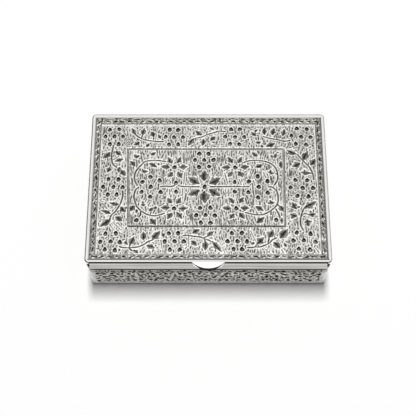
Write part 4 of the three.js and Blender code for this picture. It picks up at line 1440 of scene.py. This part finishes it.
def make_wall(side, seed):
    """A side of the body: its section is a rounded foot, the inside, the top and the engraved face."""
    half_x = side_outline(BODY, side)[0]
    radius = BODY[2]
    straight = np.linspace(-1, 1, int(2 * (half_x - radius) / WALL_COLUMN))
    share, turn = side_stations(straight, 8)
    count = len(share)
    along = share * (half_x - radius) + radius * (turn - FACING)
    sheet = engraved_wall(half_x + 0.1, seed, side == "front")
    bend = np.radians(np.linspace(8, 90, 8))
    foot = FOOT_ROUND - FOOT_ROUND * np.stack([np.cos(bend), np.sin(bend)], 1)
    face = np.linspace(FOOT_ROUND, BODY_TOP, WALL_ROWS)
    top_out, top_in = (
        wall_top(*laid_along(BODY, side, share, turn, np.full((count, 1), inset))) for inset in (0.0, WALL)
    )
    z_face = FOOT_ROUND + (face[None, :] - FOOT_ROUND) * (top_out - FOOT_ROUND) / (BODY_TOP - FOOT_ROUND)
    column = np.clip(np.searchsorted(sheet.x, along), 0, len(sheet.x) - 1)
    relief, dark, bright = (
        np.array([np.interp(z_face[k], sheet.y, layer[:, column[k]]) for k in range(count)])
        for layer in (sheet.height(), sheet.dark, sheet.bright)
    )
    inset = np.hstack([
        np.tile(foot[:, 0], (count, 1)), np.full((count, 1), FOOT_ROUND), np.full((count, 3), WALL),
        -relief[:, ::-1],
    ])
    height = np.hstack([
        np.tile(foot[:, 1], (count, 1)), np.full((count, 2), BOTTOM), np.full((count, 1), BOTTOM + 1.0),
        top_in, z_face[:, ::-1],
    ])
    shadow = wall_shadow(side, along, top_out - z_face)
    # The painted shade under the lid's edge is laid over the engraving's own dark
    dark = 1 - (1 - np.clip(dark, 0, 1)) * (1 - np.clip(shadow, 0, 0.95))
    # Twelve points lie before the face: eight round the foot, painted dark as shade from the third on, one at
    # the bottom sheet's edge, then up the inside the tray's corner, painted dark as shade, one a little above
    # it, and the top
    foot_and_corner_shade = np.tile([0.0] * 2 + [1.0] * 6 + [0.0, 0.8, 0.0, 0.0], (count, 1))
    marks = {
        "patina_and_shade": np.hstack([foot_and_corner_shade, dark[:, ::-1]]),
        "polish_and_highlight": np.hstack([np.full((count, 12), 0.4), bright[:, ::-1]]),
    }
    total = inset.shape[1]
    smooth = [True] * 7 + [False] * 5 + [True] * (total - 12)
    inner = [0] * 7 + [1] * 4 + [0] * (total - 11)
    made = mitred_length(
        "wall_" + side, side, BODY, (share, turn), np.maximum(inset, 0.0), height,
        [WALL_SILVER, INSIDE_SILVER], smooth, inner, marks,
    )
    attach(made, "body")
    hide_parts(f"{side}_wall")


def make_knuckle(node, body):
    """A tube of the hinge with rounded ends, as long as its solid."""
    low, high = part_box(node)
    x0, x1 = low.x / MM, high.x / MM
    corners = [(x0, KNUCKLE_BORE), (x1, KNUCKLE_BORE), (x1, KNUCKLE_RADIUS), (x0, KNUCKLE_RADIUS)]
    section = rounded(corners, [0.05, 0.05, KNUCKLE_EASE, KNUCKLE_EASE], 4)
    sides = 56
    turns = np.linspace(0, 2 * math.pi, sides, endpoint=False)
    points = [
        (x, HINGE_Y + r * math.cos(t), HINGE_Z + r * math.sin(t)) for t in turns for x, r in section
    ]
    count = len(section)
    faces = []
    for k in range(sides):
        for j in range(count):
            a, b = k * count + j, k * count + (j + 1) % count
            c = ((k + 1) % sides) * count
            faces.append([a, c + j, c + (j + 1) % count, b])
    made = piece("tube_" + node, points, faces, [True] * len(faces), [BAND_SILVER])
    made.data.set_sharp_from_angle(angle=math.radians(50))
    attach(made, body)
    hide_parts(node)


make_field()
for k, side in enumerate(SIDES):
    make_border(side, BORDER_SEED + k)
    make_rim(side)
    make_band(side)
    make_wall(side, WALL_SEED + k)
make_thumbpiece()
for number in range(1, 10):
    owner = "body" if number % 2 else "lid"
    make_knuckle(f"{owner}_knuckle_{number}", owner)

# The solids that show as they are
CAD_FINISHES = {
    INSIDE_SILVER: (
        "bottom_sheet", "front_lip", "left_lip", "right_lip", "body_hinge_bearer", "lid_hinge_bearer",
    ),
    PIN_SILVER: ("hinge_pin", "barrel_plug_left", "barrel_plug_right"),
}
for material, names in CAD_FINISHES.items():
    for name in names:
        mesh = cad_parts[name].data
        mesh.materials.clear()
        mesh.materials.append(material)


# Floor, light and camera

FLOOR_HALF = 4000.0
FLOOR_LEVEL = -0.03
# The paper's shadow fades out between these distances, in metres, and beyond them it is plain white
PAPER_FADE = (0.16, 0.5)
# How much of the light that the silver mirrors from the paper is plain white
PAPER_MIRRORED = 0.28
# The brightness of the room's walls in the silver, and of the room as a lamp
ROOM_FRONT = 0.9
ROOM_BACK = 0.3
ROOM_LEFT = 0.22
ROOM_RIGHT = 0.52
ROOM_DIFFUSE = 0.21
WHITE = (1.0, 1.0, 1.0, 1)


def make_floor():
    """A sheet of pale paper. The camera sees it white, with the box's shadow on it."""
    points = [(x * FLOOR_HALF, y * FLOOR_HALF, FLOOR_LEVEL) for x, y in ((-1, -1), (1, -1), (1, 1), (-1, 1))]
    material, tree, shader = new_material("pale_paper", 0.0)
    rays = tree.nodes.new("ShaderNodeLightPath").outputs
    seen = reckon(tree, "MAXIMUM", rays["Is Camera Ray"], rays["Is Glossy Ray"])
    seen = reckon(tree, "MAXIMUM", seen, rays["Is Transmission Ray"])
    paper = ranged(tree, noise(tree, object_place(tree), 9.0, 2.0), 0.3, 0.7, 0.0, 1.0)
    pale = mix_colour(tree, paper, (0.80, 0.80, 0.80, 1), (0.82, 0.82, 0.82, 1))
    connect(tree, shader, {"Roughness": 0.9, "Base Color": mix_colour(tree, seen, pale, WHITE)})
    distance = add_node(tree, "ShaderNodeVectorMath", {0: object_place(tree)}, "Value", operation="LENGTH")
    far = ranged(tree, distance, *PAPER_FADE, 0.0, 1.0)
    whiter = reckon(tree, "MAXIMUM", reckon(tree, "MULTIPLY", far, seen),
                    reckon(tree, "MULTIPLY", rays["Is Glossy Ray"], PAPER_MIRRORED))
    white = add_node(tree, "ShaderNodeEmission", {})
    mix = add_node(tree, "ShaderNodeMixShader", {0: whiter, 1: shader.outputs[0], 2: white})
    tree.links.new(mix, tree.nodes["Material Output"].inputs["Surface"])
    made = piece("floor_paper", points, [[0, 1, 2, 3]], [False], [material])


def backdrop_light(tree, strength):
    return add_node(tree, "ShaderNodeBackground", {"Color": WHITE, "Strength": strength})


def make_world():
    """A plain pale room. The camera sees it white. The silver mirrors a white ceiling and front, and
    greyer walls on the other three sides."""
    world = bpy.data.worlds.new("studio")
    bpy.context.scene.world = world
    world.use_nodes = True
    tree = world.node_tree
    tree.nodes.clear()
    look = add_node(tree, "ShaderNodeTexCoord", {}, "Generated")
    axes = tree.nodes.new("ShaderNodeSeparateXYZ")
    tree.links.new(look, axes.inputs[0])
    x, y = axes.outputs["X"], axes.outputs["Y"]
    upwards = add_node(tree, "ShaderNodeVectorMath", {0: look, 1: (0.0, 0.14, 0.99)}, "Value",
                       operation="DOT_PRODUCT")
    across = reckon(tree, "ABSOLUTE", x)
    aside = reckon(tree, "MULTIPLY", across, 0.28)
    white_share = ranged(tree, reckon(tree, "SUBTRACT", upwards, aside), 0.66, 0.82, 0.0, 1.0)
    ends = ranged(tree, y, -0.5, 0.25, ROOM_FRONT, ROOM_BACK)
    sides = ranged(tree, x, -0.3, 0.3, ROOM_LEFT, ROOM_RIGHT)
    walls = blended(tree, ranged(tree, across, 0.2, 0.55, 0.0, 1.0), ends, sides)
    ceiling = ranged(tree, y, 0.1, 0.4, 1.5, 1.07)
    silver_sees = backdrop_light(tree, blended(tree, white_share, walls, ceiling))
    camera_sees = backdrop_light(tree, 1.0)
    rays = tree.nodes.new("ShaderNodeLightPath").outputs
    seen = reckon(tree, "MAXIMUM", rays["Is Camera Ray"], rays["Is Transmission Ray"])
    light = backdrop_light(tree, ROOM_DIFFUSE)
    for share, other in ((rays["Is Glossy Ray"], silver_sees), (seen, camera_sees)):
        light = add_node(tree, "ShaderNodeMixShader", {0: share, 1: light, 2: other})
    tree.links.new(light, tree.nodes.new("ShaderNodeOutputWorld").inputs["Surface"])


def make_softbox():
    """A lamp overhead that the silver doesn't mirror."""
    lamp = bpy.data.lights.new("overhead_softbox", "AREA")
    lamp.shape = "RECTANGLE"
    lamp.size = 0.3
    lamp.size_y = 0.8
    lamp.energy = 52.0
    made = bpy.data.objects.new("overhead_softbox", lamp)
    made.location = (0.0, 0.35, 2.5)
    made.visible_glossy = False
    bpy.context.scene.collection.objects.link(made)


def make_camera():
    data = bpy.data.cameras.new("camera")
    data.sensor_width = SENSOR_WIDTH
    data.lens = FOCAL_PIXELS / FRAME_SIZE * SENSOR_WIDTH
    data.clip_start = 0.01
    data.clip_end = 20.0
    made = bpy.data.objects.new("camera", data)
    made.location = (CAMERA_PLACE * MM).tolist()
    made.rotation_euler = (math.pi / 2 - CAMERA_ELEVATION, 0.0, 0.0)
    bpy.context.scene.collection.objects.link(made)
    bpy.context.scene.camera = made


make_floor()
make_world()
make_softbox()
make_camera()
bpy.context.scene.view_settings.view_transform = "Standard"
